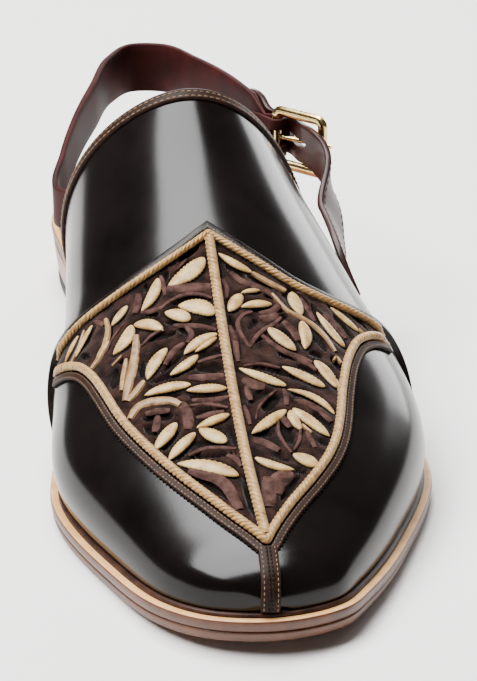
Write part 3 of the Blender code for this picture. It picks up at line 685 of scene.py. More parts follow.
class Skin(Enum):
    """The sandal's finishes."""

    # Box calf, dyed nearly black and waxed: a thin, low gloss that only mirrors the lamps, soft-edged.
    UPPER = Finish("polished_box_calf", "#100c0b", "#070504", roughness=0.18, swing=0.03, mottle=22,
                   grain=0.9, depth=0.004, specular=0.225)
    # Flesh side of the upper: matt brown nap.
    UPPER_LINING = Finish("upper_lining_leather", "#5a3a2c", "#3f261c", roughness=0.8, grain=0.6, depth=0.05)
    # Thin goat strip with a soft shine.
    BINDING = Finish("goat_binding_leather", "#2c180f", "#150a06", roughness=0.55, mottle=2.5, grain=0.5,
                     depth=0.04, specular=0.14)
    # The instep's rim is the same strip dyed dark.
    RIM = Finish("dark_rim_leather", "#1c120e", "#0b0706", roughness=0.35, mottle=3, grain=0.5, depth=0.03,
                 specular=0.2)
    # Suede ground: matt, mottled from rubbed high spots to dark hollows.
    GROUND = CutGroundWithPaintedShade("suede_ground", "#33201b", "#100705", roughness=0.9, mottle=4.5,
                       contrast=(0.38, 0.66), grain=0.45, depth=0.12, sheen=0.15, specular=0.05)
    # Twisted metallised viscose cord: pale gold, satin rather than mirror.
    CORD = Fibres("twisted_gold_cord", "#b99254", "#7a5324", roughness=0.42, mottle=2.2, depth=0.03,
                  sheen=0.25, reads=Reads.BLANK)
    # Satin stitch in undyed silk: cream with the sheen of parallel threads.
    SILK = Fibres("satin_stitch_silk", "#c5a567", "#936c2e", roughness=0.45, mottle=3.0, depth=0.03,
                  sheen=0.3, fibre=0.25)
    # Outline thread of the embroidery: tan, waxed.
    STEM = Fibres("tan_outline_thread", "#9b7747", "#634423", roughness=0.5, mottle=2.0, depth=0.02,
                  sheen=0.1)
    # Raised lines in the suede, coloured paler than the ground as painted highlight of its lit pieces.
    VEIN = Finish("painted_highlight_suede_vein", "#523a34", "#2d1a16", roughness=0.7, mottle=3.0, grain=0.4, depth=0.06,
                  specular=0.08)
    # Linen sewing thread, pale on brown leather.
    THREAD = Fibres("linen_thread", "#8a6c4c", "#553c24", roughness=0.55, mottle=2.0, depth=0.02)
    # Dark sewing thread, waxed nearly black.
    DARK_THREAD = Fibres("dark_waxed_thread", "#1c110c", "#0a0605", roughness=0.4, mottle=2.0, depth=0.02,
                         specular=0.15)
    # Strap leather, pigmented outside: dark red-brown with a half gloss.
    STRAP = Finish("strap_leather", "#33130f", "#1a0907", roughness=0.42, swing=0.05, mottle=14, grain=0.8,
                   depth=0.01, coat=0.15, specular=0.18)
    # Strap lining, smooth and wine-brown.
    STRAP_LINING = Finish("strap_lining_leather", "#3c1614", "#260d0c", roughness=0.6, mottle=12, grain=0.6,
                          depth=0.015, specular=0.12)
    # Cut strap edges, paler raw leather.
    STRAP_EDGE = Finish("strap_edge", "#6e452f", "#452818", roughness=0.55, mottle=3, grain=0.4, depth=0.04)
    # Vegetable-tanned welt, left natural on top.
    WELT = Finish("natural_welt_leather", "#dca86c", "#c58f50", roughness=0.5, mottle=7, grain=0.6,
                  depth=0.03)
    # Its edge is stained and burnished.
    WELT_EDGE = Finish("stained_welt_edge", "#5e3621", "#442413", roughness=0.38, mottle=5, grain=0.5,
                       depth=0.03)
    # Rand strip against the upper's foot, dark as painted shade where the upper meets the welt.
    RAND = Finish("rand_painted_shade", "#3d2214", "#20100a", roughness=0.45, mottle=4, grain=0.5,
                  depth=0.03, specular=0.2)
    # Outsole bend leather: firm, tan, waxed at the edge.
    SOLE = Finish("tan_sole_leather", "#643c27", "#482a1a", roughness=0.42, mottle=8, grain=0.5, depth=0.03)
    # Insole leather, smooth brown.
    INSOLE = Finish("insole_leather", "#7a4a34", "#5a3324", roughness=0.45, mottle=14, grain=0.8, depth=0.02)
    # Heel of stacked leather lifts, burnished together.
    HEEL = Layered("stacked_heel_leather", "#9a6244", "#784630", roughness=0.35, mottle=6, grain=0.5,
                   depth=0.03)
    # Moulded rubber top piece.
    RUBBER = Finish("heel_rubber", "#2a2522", "#1a1614", roughness=0.7, mottle=6, grain=0.6, depth=0.05)
    # Cast brass, polished, with faint wear.
    BRASS = Finish("polished_brass", "#f2d9a0", "#d2ac68", roughness=0.2, swing=0.06, mottle=5, grain=0.5,
                   depth=0.004, metallic=1.0)
    # Plain pale studio floor, matt.
    FLOOR = Finish("studio_floor", "#f4f2f0", "#efedea", roughness=0.85, swing=0.02, mottle=900, grain=40,
                   depth=0.0)


@cache
def material(skin: Skin) -> bpy.types.Material:
    """The material of a finish, made once."""
    return skin.value.make()


# ---------------------------------------------------------------- making meshes
def place(points: Array) -> Array:
    """Shoe directions in millimetres to the model's metres."""
    return (np.asarray(points, float) - np.array([0.0, HEEL_CENTRE, 0.0])) * MM


def only(thing: bpy.types.Object) -> None:
    """Select one object alone and make it active."""
    bpy.ops.object.select_all(action="DESELECT")
    thing.select_set(True)
    bpy.context.view_layer.objects.active = thing


def read_points(thing: bpy.types.Object) -> Array:
    """Vertex places of a mesh."""
    points = np.zeros(len(thing.data.vertices) * 3)
    thing.data.vertices.foreach_get("co", points)
    return points.reshape(-1, 3)


def write_points(thing: bpy.types.Object, points: Array) -> None:
    """Move the vertices of a mesh."""
    thing.data.vertices.foreach_set("co", np.ascontiguousarray(points, np.float32).ravel())
    thing.data.update()


def turn_outward(piece: bpy.types.Object, close: bool = False) -> None:
    """Point the faces of a closed piece outward.

    Args:
        piece: the piece.
        close: True to merge its doubles and fill its open ends first.
    """
    only(piece)
    bpy.ops.object.mode_set(mode="EDIT")
    bpy.ops.mesh.select_all(action="SELECT")
    if close:
        bpy.ops.mesh.remove_doubles(threshold=2e-6)
        bpy.ops.mesh.dissolve_degenerate(threshold=1e-6)
        bpy.ops.mesh.select_all(action="SELECT")
        bpy.ops.mesh.fill_holes(sides=0)
        bpy.ops.mesh.select_all(action="SELECT")
    bpy.ops.mesh.normals_make_consistent(inside=False)
    bpy.ops.object.mode_set(mode="OBJECT")


def shade(piece: bpy.types.Object, angle: float) -> None:
    """Shade a piece smooth, with its edges above an angle kept sharp."""
    only(piece)
    bpy.ops.object.shade_smooth_by_angle(angle=math.radians(angle))


def lay_blank(name: str, points: Array, closed: bool = False, smooth: float = 40.0,
              zones: Array | None = None) -> bpy.types.Object:
    """Cut a flat blank, lay it over a grid of points and close it where it meets itself.

    Args:
        name: the piece's name.
        points: a grid of points, rows by columns, in shoe directions.
        closed: True to fill the ends of a tube and point its faces out.
        smooth: angle above which an edge stays sharp.
        zones: which finish each column of faces takes.

    Returns:
        The piece, with a UV map in centimetres over the blank.
    """
    rows, columns = points.shape[:2]
    bpy.ops.mesh.primitive_grid_add(x_subdivisions=columns - 1, y_subdivisions=rows - 1, size=1)
    piece = bpy.context.active_object
    piece.name = piece.data.name = name
    write_points(piece, place(points.reshape(-1, 3)))
    size = [run_lengths(line)[-1] / 10 for line in (points[rows // 2], points[:, columns // 2])]
    flat = np.zeros(len(piece.data.loops) * 2)
    piece.data.uv_layers[0].data.foreach_get("uv", flat)
    piece.data.uv_layers[0].data.foreach_set("uv", (flat.reshape(-1, 2) * size).ravel())
    if zones is not None:
        piece.data.polygons.foreach_set("material_index", np.tile(zones, rows - 1).astype(np.int32))
    if closed:
        turn_outward(piece, True)
    shade(piece, smooth)
    return piece


def ring_blank(name: str, rings: Array, round_trip: bool = False, smooth: float = 40.0,
               zones: Array | None = None) -> bpy.types.Object:
    """Wrap a blank round rings of points.

    Args:
        name: the piece's name.
        rings: rings of corners along the piece.
        round_trip: True when the last ring meets the first one.
        smooth: angle above which an edge stays sharp.
        zones: which finish each column of faces takes.

    Returns:
        The closed piece.
    """
    rings = np.concatenate([rings, rings[:, :1]], 1)
    if round_trip:
        rings = np.concatenate([rings, rings[:1]])
    return lay_blank(name, rings, True, smooth, zones)


def finish_with(piece: bpy.types.Object, kind: str, **settings: object) -> None:
    """Add a modifier with its settings and apply it."""
    only(piece)
    modifier = piece.modifiers.new(kind.title(), kind)
    for key, value in settings.items():
        setattr(modifier, key, value)
    bpy.ops.object.modifier_apply(modifier=modifier.name)


def paint(piece: bpy.types.Object, *skins: Skin) -> None:
    """Give a piece its materials."""
    piece.data.materials.clear()
    for skin in skins:
        piece.data.materials.append(material(skin))


def mount(piece: bpy.types.Object, slot: str, *nodes: str) -> None:
    """Tie a piece to the frame.

    Args:
        piece: the finished piece.
        slot: the record's material slot; not used.
        nodes: the frame's nodes that it stands for.
    """
    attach(piece, BODY)
    if nodes:
        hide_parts(*nodes)
    LOG.info("%s: %d faces", piece.name, len(piece.data.polygons))


def dress(piece: bpy.types.Object, skin: Skin, slot: str, *nodes: str) -> None:
    """Give a piece its one finish and tie it to the frame."""
    paint(piece, skin)
    mount(piece, slot, *nodes)


def join(name: str, pieces: Sequence[bpy.types.Object]) -> bpy.types.Object:
    """Join pieces into the first one and rename it."""
    bpy.ops.object.select_all(action="DESELECT")
    for piece in pieces:
        piece.select_set(True)
    bpy.context.view_layer.objects.active = pieces[0]
    bpy.ops.object.join()
    pieces[0].name = pieces[0].data.name = name
    return pieces[0]


def copies(name: str, model: bpy.types.Object, places: Array) -> bpy.types.Object:
    """Repeat a model shape into one piece.

    Args:
        name: the new piece's name.
        model: the shape that is repeated; it is removed.
        places: where its vertices go in each copy, copies by vertices.

    Returns:
        The piece, one mesh of its own.
    """
    count, corners = places.shape[:2]
    faces = [tuple(face.vertices) for face in model.data.polygons]
    bpy.data.objects.remove(model)
    mesh = bpy.data.meshes.new(name)
    every = [tuple(k * corners + v for v in face) for k in range(count) for face in faces]
    mesh.from_pydata(place(places.reshape(-1, 3)).tolist(), [], every)
    piece = bpy.data.objects.new(name, mesh)
    bpy.context.scene.collection.objects.link(piece)
    turn_outward(piece)
    bpy.ops.object.shade_smooth()
    return piece


@dataclass(frozen=True)
class Stitches:
    """Thread stitches in a row."""

    length: float = 1.5
    spacing: float = 2.1
    width: float = 0.45
    height: float = 0.32
    crosswise: bool = False

    def row(self, path: Array, normals: Array, shape: Array) -> Array:
        """Space stitches along a path.

        Args:
            path: points of the row.
            normals: the way out of the leather at each point.
            shape: one stitch's vertices, with its long way along the second axis.

        Returns:
            Vertex places of every stitch, copies by vertices.
        """
        lengths = run_lengths(path)
        count = max(2, int(lengths[-1] / self.spacing))
        at = (np.arange(count) + 0.5) * lengths[-1] / count
        middle, up = read_path(at, lengths, path), unit(read_path(at, lengths, normals))
        ahead = unit(read_path(at + 0.1, lengths, path) - read_path(at - 0.1, lengths, path))
        side = unit(np.cross(ahead, up))
        if self.crosswise:
            ahead, side = side, ahead
        size = np.array([self.width / 2, self.length / 2, self.height])
        x, y, z = (shape * size).T[:, None, :, None]
        return middle[:, None] + side[:, None] * x + ahead[:, None] * y + up[:, None] * z

    def sew(self, name: str, rows: Sequence[tuple[Array, Array]], skin: Skin, slot: str) -> None:
        """Make one piece of several rows, each stitch a small round-ended pad.

        Args:
            name: the piece's name.
            rows: each row's path and normals.
            skin: the thread's finish.
            slot: the record's material slot.
        """
        bpy.ops.mesh.primitive_uv_sphere_add(segments=6, ring_count=5, radius=1)
        model = bpy.context.active_object
        shape = read_points(model)[:, [0, 2, 1]]
        places = np.concatenate([self.row(path, normals, shape) for path, normals in rows])
        dress(copies(name, model, places), skin, slot)


def trail_row(spots: Array, offset: float, lift: float) -> tuple[Array, Array]:
    """Path and normals of a row beside a trail, at a distance across and up."""
    trail = Trail(spots)
    return trail.rings([(offset, lift)])[:, 0], trail.frames()[1]


# ---------------------------------------------------------------- the leaf panel
def border(line: Line, side: Side, places: Array, inset: float, apex_inset: float,
           count: int = 81, step: float = 0.02) -> Array:
    """Spots along one border of the panel, moved over the upper toward its middle.

    Args:
        line: the line that bounds the panel.
        side: the side of the shoe.
        places: shares of the line from the ridge.
        inset: how far to move, toward the heel when positive.
        apex_inset: how far the spot on the ridge moves.
        count: how many spots of the line are read.
        step: share of the line over which its direction is taken.

    Returns:
        Rows of run and drop.
    """
    spots = line.half(side, count)[:, 1:]
    stations = np.linspace(0, 1, len(spots))
    before, at, after = (read_path(places + shift, stations, spots).T for shift in (-step, 0.0, step))
    run, drop = at
    along = unit(LAST.surface(side, *after) - LAST.surface(side, *before))
    rearward = unit(np.cross(along, LAST.normal(side, run, drop))) * -int(side)
    run, drop = LAST.walk(side, run, drop, rearward, np.full(len(places), float(inset)))
    run[0], drop[0] = spots[0, 0] + apex_inset / LAST.ridge_length(), 0.0
    return np.stack([run, drop], 1)


class Leaf(NamedTuple):
    """An embroidered leaf: root and tip in hundredths of run and drop, width in mm and its bow."""

    root_run: float
    root_drop: float
    tip_run: float
    tip_drop: float
    width: float
    bow: float = 0.0


class Slot(Leaf):
    """A dark slot in the ground, charted as a leaf is: a cut with painted shade, or a painted shadow like the
    one along the instep cord.
    """


class Stem(NamedTuple):
    """A thin raised line through spots in hundredths, with its width in mm."""

    width: float
    spots: tuple[tuple[float, float], ...]


@dataclass(frozen=True)
class LeafPanel:
    """Suede ground with cut slots, satin-stitched leaves, outline threads and raised veins.

    The charts give each side's shapes as hundredths of run and drop, with widths in millimetres.
    """

    rows: int = 110
    columns: int = 120
    inset: float = 0.3
    thick: float = 0.6
    proud: float = 0.25
    swell: float = 0.22
    slot_depth: float = 1.0
    leaf_bed: float = 0.4
    leaf_height: float = 0.8
    leaf_under: float = 0.35
    slimness: float = 0.96
    leaf_segments: int = 14
    leaf_rings: int = 34
    thread: float = 0.07
    line_steps: int = 22
    line_sides: int = 8
    thread_height: float = 0.75
    vein_height: float = 0.45
    mark_steps: int = 25
    medial_leaves: tuple[Leaf, ...] = (
        Leaf(62.1, 17, 66.8, 2.8, 5.9, 0.06), Leaf(58.2, 27, 64.1, 20.6, 3.9, 0.08),
        Leaf(57.2, 38.6, 60.2, 32.2, 2.9), Leaf(54.6, 56, 59.3, 47.2, 2.2), Leaf(55.6, 63, 59.0, 54.6, 2.2),
        Leaf(51.0, 46.2, 54.4, 40.2, 2.4), Leaf(51.0, 38.8, 56.0, 30.8, 4.8, 0.10),
        Leaf(53.5, 19.8, 56.0, 30, 4.0, 0.10), Leaf(57.1, 18.8, 54.8, 10.4, 4.6, -0.06),
        Leaf(58.0, 14, 55.6, 1.4, 6.0, -0.10), Leaf(48.2, 14, 51.6, 1.8, 3.8, -0.08),
        Leaf(48.4, 10.2, 50.9, 2.2, 2.0), Leaf(44.4, 19.6, 47.7, 9.4, 3.4, 0.03),
        Leaf(44.2, 27.4, 49.9, 19.5, 4.1, -0.06), Leaf(41.2, 29.2, 42.1, 13.2, 3.9, -0.06),
        Leaf(41.0, 15, 40.7, 1.6, 3.5, -0.03), Leaf(30.4, 31, 35.0, 20.6, 4.1, 0.02),
        Leaf(28.0, 27.6, 32.6, 15.2, 3.7), Leaf(27.1, 25.2, 23.5, 4.0, 4.8, -0.06),
        Leaf(33.5, 14.3, 35.6, 2.4, 3.3), Leaf(33.3, 13.6, 30.1, 5.4, 4.7),
    )
    lateral_leaves: tuple[Leaf, ...] = (
        Leaf(67.5, 2.4, 63.5, 12.4, 2.9, 0.03), Leaf(55.8, 2.8, 59.2, 7.4, 4.0),
        Leaf(56.6, 6.6, 57.1, 16.2, 3.1, -0.06), Leaf(59.4, 7.4, 59.9, 13.6, 1.7, -0.05),
        Leaf(55.1, 24.8, 59.9, 24.2, 4.5, -0.03), Leaf(47.5, 19.6, 52.3, 13, 4.4),
        Leaf(47.9, 22.6, 53.8, 24.2, 4.0, 0.04), Leaf(56.2, 30.6, 48.9, 36.4, 3.1, 0.03),
        Leaf(57.9, 37, 53.6, 45.2, 2.8), Leaf(40.2, 31.6, 45.6, 25, 4.1, 0.03),
        Leaf(44.4, 14.8, 40.2, 27.8, 3.6), Leaf(44.5, 2.8, 40.5, 15.6, 3.4, 0.02),
        Leaf(39.8, 15.8, 34.8, 30.8, 2.6, -0.13), Leaf(31.4, 3.4, 35.7, 14.9, 3.6),
        Leaf(30.2, 28.4, 36.0, 17, 4.0), Leaf(31.5, 18.8, 35.6, 16.2, 3.3, -0.05),
        Leaf(23.8, 15, 26.7, 2.8, 3.1, -0.08), Leaf(26.9, 15, 24.4, 23.6, 4.8),
    )
    # Slots: cuts in the suede, near black where the black upper shows through, with painted shade. The long
    # slot beside the instep cord on each side is the cord's painted shadow.
    medial_slots: tuple[Slot, ...] = (
        Slot(66.8, 12.5, 69.4, 4, 1.8), Slot(66.6, 14, 60.4, 50, 1.5), Slot(65.4, 17, 62.6, 19.2, 1.8),
        Slot(63.4, 25.4, 62.2, 24.2, 2.2), Slot(57.7, 25.6, 57.1, 21, 1.8),
        Slot(58.6, 16, 58.7, 1.5, 1.7, -0.1), Slot(54.3, 9.4, 54.4, 1.5, 2.6),
        Slot(55.4, 19, 54.2, 13.5, 2.2), Slot(52.4, 26, 52.9, 16, 2.6), Slot(53.4, 14.5, 52.6, 11, 2.4),
        Slot(47.5, 9.6, 48.3, 1.5, 3.0), Slot(45.3, 10.5, 45.0, 1.5, 3.4), Slot(45.2, 22.5, 48.6, 14, 1.8),
        Slot(45.0, 29.6, 48.2, 28.2, 2.4), Slot(44.2, 40, 47.6, 38.2, 3.6),
        Slot(49.8, 36.4, 48.8, 35.8, 1.8), Slot(54.2, 53, 52.8, 49, 2.2), Slot(57.2, 38.8, 54.2, 40.4, 1.6),
        Slot(58.8, 46, 55.6, 51, 1.6), Slot(43.4, 27, 45.7, 10, 1.8), Slot(40.5, 29, 40.5, 16.5, 2.2),
        Slot(39.9, 15, 39.4, 2, 1.6), Slot(36.4, 15, 36.3, 3, 2.4, -0.06), Slot(36.9, 31.5, 36.6, 21, 3.4),
        Slot(35.4, 31.5, 33.4, 28.6, 2.6), Slot(30.0, 28.6, 33.6, 20.4, 2.4),
        Slot(27.3, 25.6, 31.8, 14.8, 1.6), Slot(30.6, 17, 30.2, 9, 3.0), Slot(28.2, 21.5, 27.9, 1.5, 1.5),
        Slot(32.6, 3.2, 29.4, 2.2, 2.0), Slot(25.6, 23.5, 19.0, 8.5, 2.6), Slot(23.4, 2.2, 15.6, 1.8, 2.4),
        Slot(24.4, 19, 22.6, 11.5, 1.8),
    )
    lateral_slots: tuple[Slot, ...] = (
        Slot(67.0, 2.4, 62.4, 2.4, 1.7), Slot(66.8, 8.4, 59.6, 45, 1.4), Slot(65.2, 4.4, 62.6, 9.6, 2.6),
        Slot(63.0, 10.8, 60.6, 18.2, 2.4), Slot(59.0, 14.6, 58.6, 19, 1.8), Slot(60.6, 23, 60.2, 23.9, 1.7),
        Slot(59.4, 21.2, 59.1, 21.9, 1.7), Slot(59.0, 27.4, 57.4, 28.8, 1.9),
        Slot(56.0, 9.5, 55.9, 19.5, 2.8, -0.03), Slot(53.2, 14.8, 55.0, 20.2, 1.9),
        Slot(55.0, 2.8, 52.0, 3.4, 2.2), Slot(52.6, 7.6, 54.0, 10.6, 2.0), Slot(49.4, 7.4, 51.4, 12, 1.8),
        Slot(52.0, 16.4, 48.8, 20.6, 1.8), Slot(52.8, 26.6, 47.6, 29.4, 3.2),
        Slot(58.0, 30.4, 53.4, 30, 2.0), Slot(56.6, 37.2, 51.2, 41.6, 2.4),
        Slot(58.6, 43.6, 55.2, 51.4, 2.2), Slot(47.4, 14.2, 45.8, 19.4, 2.0),
        Slot(47.2, 23.6, 46.6, 27.6, 2.4), Slot(46.6, 30.6, 43.6, 34.6, 2.6),
        Slot(44.7, 6, 42.0, 19, 2.0, -0.06), Slot(44.9, 19, 42.6, 26, 1.4),
        Slot(39.0, 16.8, 35.8, 29.2, 2.2, -0.12), Slot(37.8, 4.2, 39.6, 11.5, 2.6, -0.1),
        Slot(36.0, 8, 38.6, 13.2, 3.4), Slot(34.8, 23.5, 31.7, 29.2, 3.4), Slot(29.6, 25, 29.0, 28, 2.6),
        Slot(31.1, 3.8, 31.6, 9.8, 2.6), Slot(33.4, 12.4, 29.2, 15.2, 4.2), Slot(27.3, 8, 25.7, 14.4, 1.7),
        Slot(24.1, 15.4, 23.2, 19.5, 1.8), Slot(25.6, 2, 16.4, 2, 2.0), Slot(22.8, 17, 18.2, 8.8, 1.9),
        Slot(50.4, 4, 46.6, 3.4, 1.6),
    )
    medial_stems: tuple[Stem, ...] = (
        Stem(3.0, ((40.8, 36.3), (43.0, 34.8), (45.6, 33.0), (48.0, 31.6), (51.0, 30.2), (53.6, 29.6))),
        Stem(2.5, ((44.0, 28.6), (42.4, 31.6), (40.6, 35.2))),
        Stem(1.8, ((49.2, 34.0), (46.2, 35.6), (43.0, 37.0))),
        Stem(2.2, ((59.0, 41.0), (56.6, 40.2), (54.0, 41.6), (51.6, 44.6), (49.8, 48.4))),
        Stem(1.0, ((50.2, 35.6), (49.4, 37.4), (48.6, 39.6))),
        Stem(1.2, ((53.9, 58.5), (56.4, 53.8), (59.0, 51.0))),
        Stem(3.2, ((37.2, 36.0), (38.8, 33.2), (39.7, 28.8), (39.7, 24.0), (39.2, 19.8), (38.4, 17.8))),
    )
    lateral_stems: tuple[Stem, ...] = (
        Stem(2.2, ((63.4, 12.4), (61.6, 17.2), (60.0, 22.2))),
        Stem(1.7, (
            (59.2, 17.2), (57.4, 19.0), (56.0, 20.4), (54.6, 24.2), (53.2, 27.4), (51.0, 30.2), (47.6, 32.4),
        )),
        Stem(1.8, ((41.6, 31.6), (39.4, 33.2), (36.6, 33.6))),
        Stem(1.0, ((45.6, 31.2), (46.4, 32.2), (45.2, 33.8))),
        Stem(1.0, ((32.6, 19.4), (31.8, 20.6), (30.9, 22.2))),
        Stem(1.3, ((54.2, 45.6), (53.4, 47), (52.6, 48))),
    )
    # Veins: raised lines whose paler colour is painted highlight of lit suede pieces.
    medial_veins: tuple[Stem, ...] = (
        Stem(3.6, ((61.8, 17.4), (61.4, 12.6), (61.2, 7.0), (61.1, 1.8))),
        Stem(1.6, ((64.4, 19.6), (62.4, 18.6), (60.4, 18.2))),
        Stem(1.5, ((57.8, 20.6), (59.2, 16.4), (60.0, 10.4), (59.6, 5.4), (58.7, 1.8))),
        Stem(2.0, ((58.0, 27.2), (57.9, 23.6), (58.2, 19.6))),
        Stem(2.6, ((62.0, 28.2), (60.2, 28.4), (58.2, 29.6))),
        Stem(0.9, ((64.8, 14.4), (65.8, 12.0), (66.8, 9.6))),
        Stem(1.8, ((59.8, 46.2), (58.8, 43.6), (58.0, 41.8))),
        Stem(0.9, ((56.8, 33.4), (55.4, 36.8), (53.8, 39.6), (51.8, 41.6))),
        Stem(2.0, ((54.2, 16.4), (53.9, 12.0), (53.4, 7.0), (52.4, 2.0))),
        Stem(1.8, ((53.8, 12.2), (52.2, 10.6), (50.4, 12.4))),
        Stem(1.2, ((53.8, 19.8), (53.0, 24.0), (51.2, 28.2))),
        Stem(2.2, ((50.4, 13.6), (49.4, 16.8), (47.8, 19.4), (46.6, 20.8))),
        Stem(1.5, ((46.3, 9.8), (46.9, 5.6), (47.3, 1.6))),
        Stem(2.8, ((43.6, 13.6), (43.3, 8.0), (43.3, 1.8))),
        Stem(2.2, ((39.0, 13.8), (38.7, 7.0), (39.0, 1.8))),
        Stem(3.2, ((38.8, 17.4), (37.0, 16.4), (35.0, 16.4), (33.4, 17.4))),
        Stem(1.4, ((38.0, 14.8), (37.9, 8.4), (36.9, 2.4))),
        Stem(2.6, ((37.6, 30.2), (37.8, 25.6), (37.6, 21.6))),
        Stem(2.4, ((36.8, 26.2), (35.2, 27.4), (33.8, 28.8))),
        Stem(2.0, ((35.4, 13.6), (36.0, 8.4), (36.2, 4.0))),
        Stem(1.6, ((28.3, 20.0), (29.3, 13.6), (29.2, 8.0), (28.7, 2.6))),
        Stem(1.8, ((27.6, 6.4), (26.6, 3.2), (25.2, 2.2))),
        Stem(3.8, ((25.6, 21.6), (24.4, 16.6), (23.2, 12.0), (21.4, 9.4), (19.2, 8.4), (17.2, 7.6))),
    )
    lateral_veins: tuple[Stem, ...] = (
        Stem(2.6, ((63.6, 5.4), (61.8, 8.6), (60.8, 12.6), (59.6, 16.4), (58.2, 18.8))),
        Stem(1.6, ((62.2, 2.6), (60.4, 3.4), (58.4, 2.6))),
        Stem(2.4, ((57.4, 19.4), (55.8, 16.0), (55.2, 11.4))),
        Stem(1.5, ((55.6, 9.6), (55.0, 6.6), (53.6, 4.8), (51.6, 4.8), (49.8, 5.8), (48.4, 6.8))),
        Stem(1.6, ((48.6, 6.8), (50.4, 8.8), (51.8, 11.4), (53.0, 15.0), (54.4, 17.8))),
        Stem(3.0, ((54.2, 11.2), (54.4, 14.2), (55.0, 17.0))),
        Stem(3.0, ((53.6, 18.2), (51.6, 20.6), (49.6, 21.2))),
        Stem(2.0, ((50.8, 10.8), (48.8, 13.6), (47.0, 17.4), (46.2, 20.8), (45.2, 24.0))),
        Stem(2.0, ((53.0, 2.2), (50.4, 3.0), (48.0, 2.9), (45.8, 3.0))),
        Stem(1.8, ((58.8, 26.8), (56.2, 28.0), (54.0, 28.6))),
        Stem(1.6, ((60.0, 26.0), (59.4, 32.0), (58.6, 38.0))),
        Stem(2.2, ((56.0, 33.2), (53.4, 36.2), (51.0, 38.0))),
        Stem(1.2, ((44.9, 4.2), (45.1, 9.0), (44.1, 14.2))),
        Stem(2.0, ((46.4, 18.4), (44.9, 22.6), (43.6, 25.4))),
        Stem(3.6, ((42.4, 3.6), (41.2, 6.2), (40.6, 9.4))),
        Stem(2.0, ((40.8, 4.0), (39.4, 4.4), (38.0, 4.8))),
        Stem(1.0, ((34.2, 5.4), (36.2, 6.6), (38.2, 9.4), (39.8, 12.8))),
        Stem(1.8, ((39.8, 14.8), (38.2, 15.4), (36.6, 15.2))),
        Stem(2.4, ((37.6, 17.6), (36.9, 22.2), (35.4, 26.0), (33.2, 29.4))),
        Stem(1.6, ((37.0, 2.6), (35.0, 3.2), (33.2, 3.4))),
        Stem(1.1, ((34.0, 12.2), (31.4, 11.6), (28.6, 13.2), (27.2, 14.6))),
        Stem(1.1, ((32.0, 18.8), (29.6, 17.8), (27.6, 15.6))),
        Stem(2.6, ((34.4, 13.4), (33.4, 14.6), (32.2, 15.6))),
        Stem(2.8, ((30.4, 3.4), (29.4, 7.0), (27.8, 10.8))),
        Stem(1.8, ((31.2, 20.6), (29.6, 21.8), (28.0, 22.8))),
        Stem(4.2, ((22.8, 5.4), (20.2, 5.4), (17.2, 4.2))),
        Stem(3.2, ((21.8, 6.4), (23.0, 9.8), (23.0, 14.4))),
        Stem(3.2, ((22.4, 8.4), (20.8, 8.8), (19.4, 8.2))),
    )

    def grid(self) -> Array:
        """Spots of side, run and drop over the panel, from the medial wing to the lateral one."""
        rows = []
        places = np.linspace(0, 1, self.rows)
        share = np.linspace(0, 1, self.columns)[:, None]
        for side in Side:
            toe = border(TOE_LINE, side, places, self.inset, self.inset * 3)
            top = border(INSTEP_LINE, side, places, -self.inset, -self.inset * 3)
            half = [side_spots(side, a + (b - a) * share) for a, b in zip(toe, top)]
            rows += half[::-1] if side == Side.MEDIAL else half[1:]
        return np.array(rows)

    @staticmethod
    def middle(side: Side, leaf: Leaf, shares: Array) -> tuple[Array, Array, Array]:
        """Walk along a leaf's middle.

        Args:
            side: the side of the shoe.
            leaf: the leaf or slot.
            shares: shares of its length.

        Returns:
            Runs, drops and the unit directions across it.
        """
        start, end = np.array(leaf[:2]) / 100, np.array(leaf[2:4]) / 100
        run, drop = (start + (end - start) * shares[:, None]).T
        ends = LAST.surface(side, np.array([start[0], end[0]]), np.array([start[1], end[1]]))
        length = float(np.linalg.norm(ends[1] - ends[0]))
        across = unit(np.cross(ends[1] - ends[0], LAST.normal(side, run, drop)))
        run, drop = LAST.walk(side, run, drop, across, leaf.bow * length * 4 * shares * (1 - shares))
        return run, drop, across

    @staticmethod
    def outline(shares: Array) -> Array:
        """Half width of a leaf along its length: a pointed root and a blunt tip, 1 at its widest."""
        return shares ** 0.7 * (1 - shares) ** 0.58 / 0.412

    def marks(self, spots: Array, points: Array, charts: Sequence[tuple[Leaf, ...]], margin: float,
              soft: float) -> Array:
        """Find the points of the ground under charted shapes.

        Args:
            spots: side, run and drop of every point.
            points: their places.
            charts: the medial and the lateral shapes.
            margin: how far past a shape's edge the mark reaches.
            soft: how wide its border fades.

        Returns:
            The strength of the mark at each point, 0 to 1.
        """
        mark = np.zeros(len(points))
        shares = np.linspace(0.01, 0.99, self.mark_steps)
        for side, shapes in zip(Side, charts):
            on = np.flatnonzero(spots[:, 0] == side)
            for shape in shapes:
                run, drop, _ = self.middle(side, shape, shares)
                middle = LAST.surface(side, run, drop)
                away = np.linalg.norm(points[on] - middle.mean(0), axis=1)
                near = on[away < run_lengths(middle)[-1] / 2 + 4]
                apart = np.linalg.norm(points[near][:, None] - middle[None], axis=2)
                swell = np.sin(math.pi * shares) ** 0.6 if isinstance(shape, Slot) else self.outline(shares)
                inside = (shape.width / 2 * swell + margin - apart).max(1)
                mark[near] = np.maximum(mark[near], ease((inside + soft * 0.6) / soft))
        return mark

    def build_ground(self) -> None:
        """Lay the suede, swell it between the slots, sink it at the slots and round the leaves, and paint
        shade round the leaves.
        """
        grid = self.grid().swapaxes(0, 1)
        spots = grid.reshape(-1, 3)
        points, normals = np.zeros((2, len(spots), 3))
        for side in Side:
            on = spots[:, 0] == side
            _, run, drop = spots[on].T
            points[on], normals[on] = LAST.surface(side, run, drop), LAST.normal(side, run, drop)
        cut = self.marks(spots, points, (self.medial_slots, self.lateral_slots), 0.0, 0.45)
        leaf_bed_and_shade = self.marks(spots, points, (self.medial_leaves, self.lateral_leaves), 0.7, 0.9)
        x, back, _ = points.T
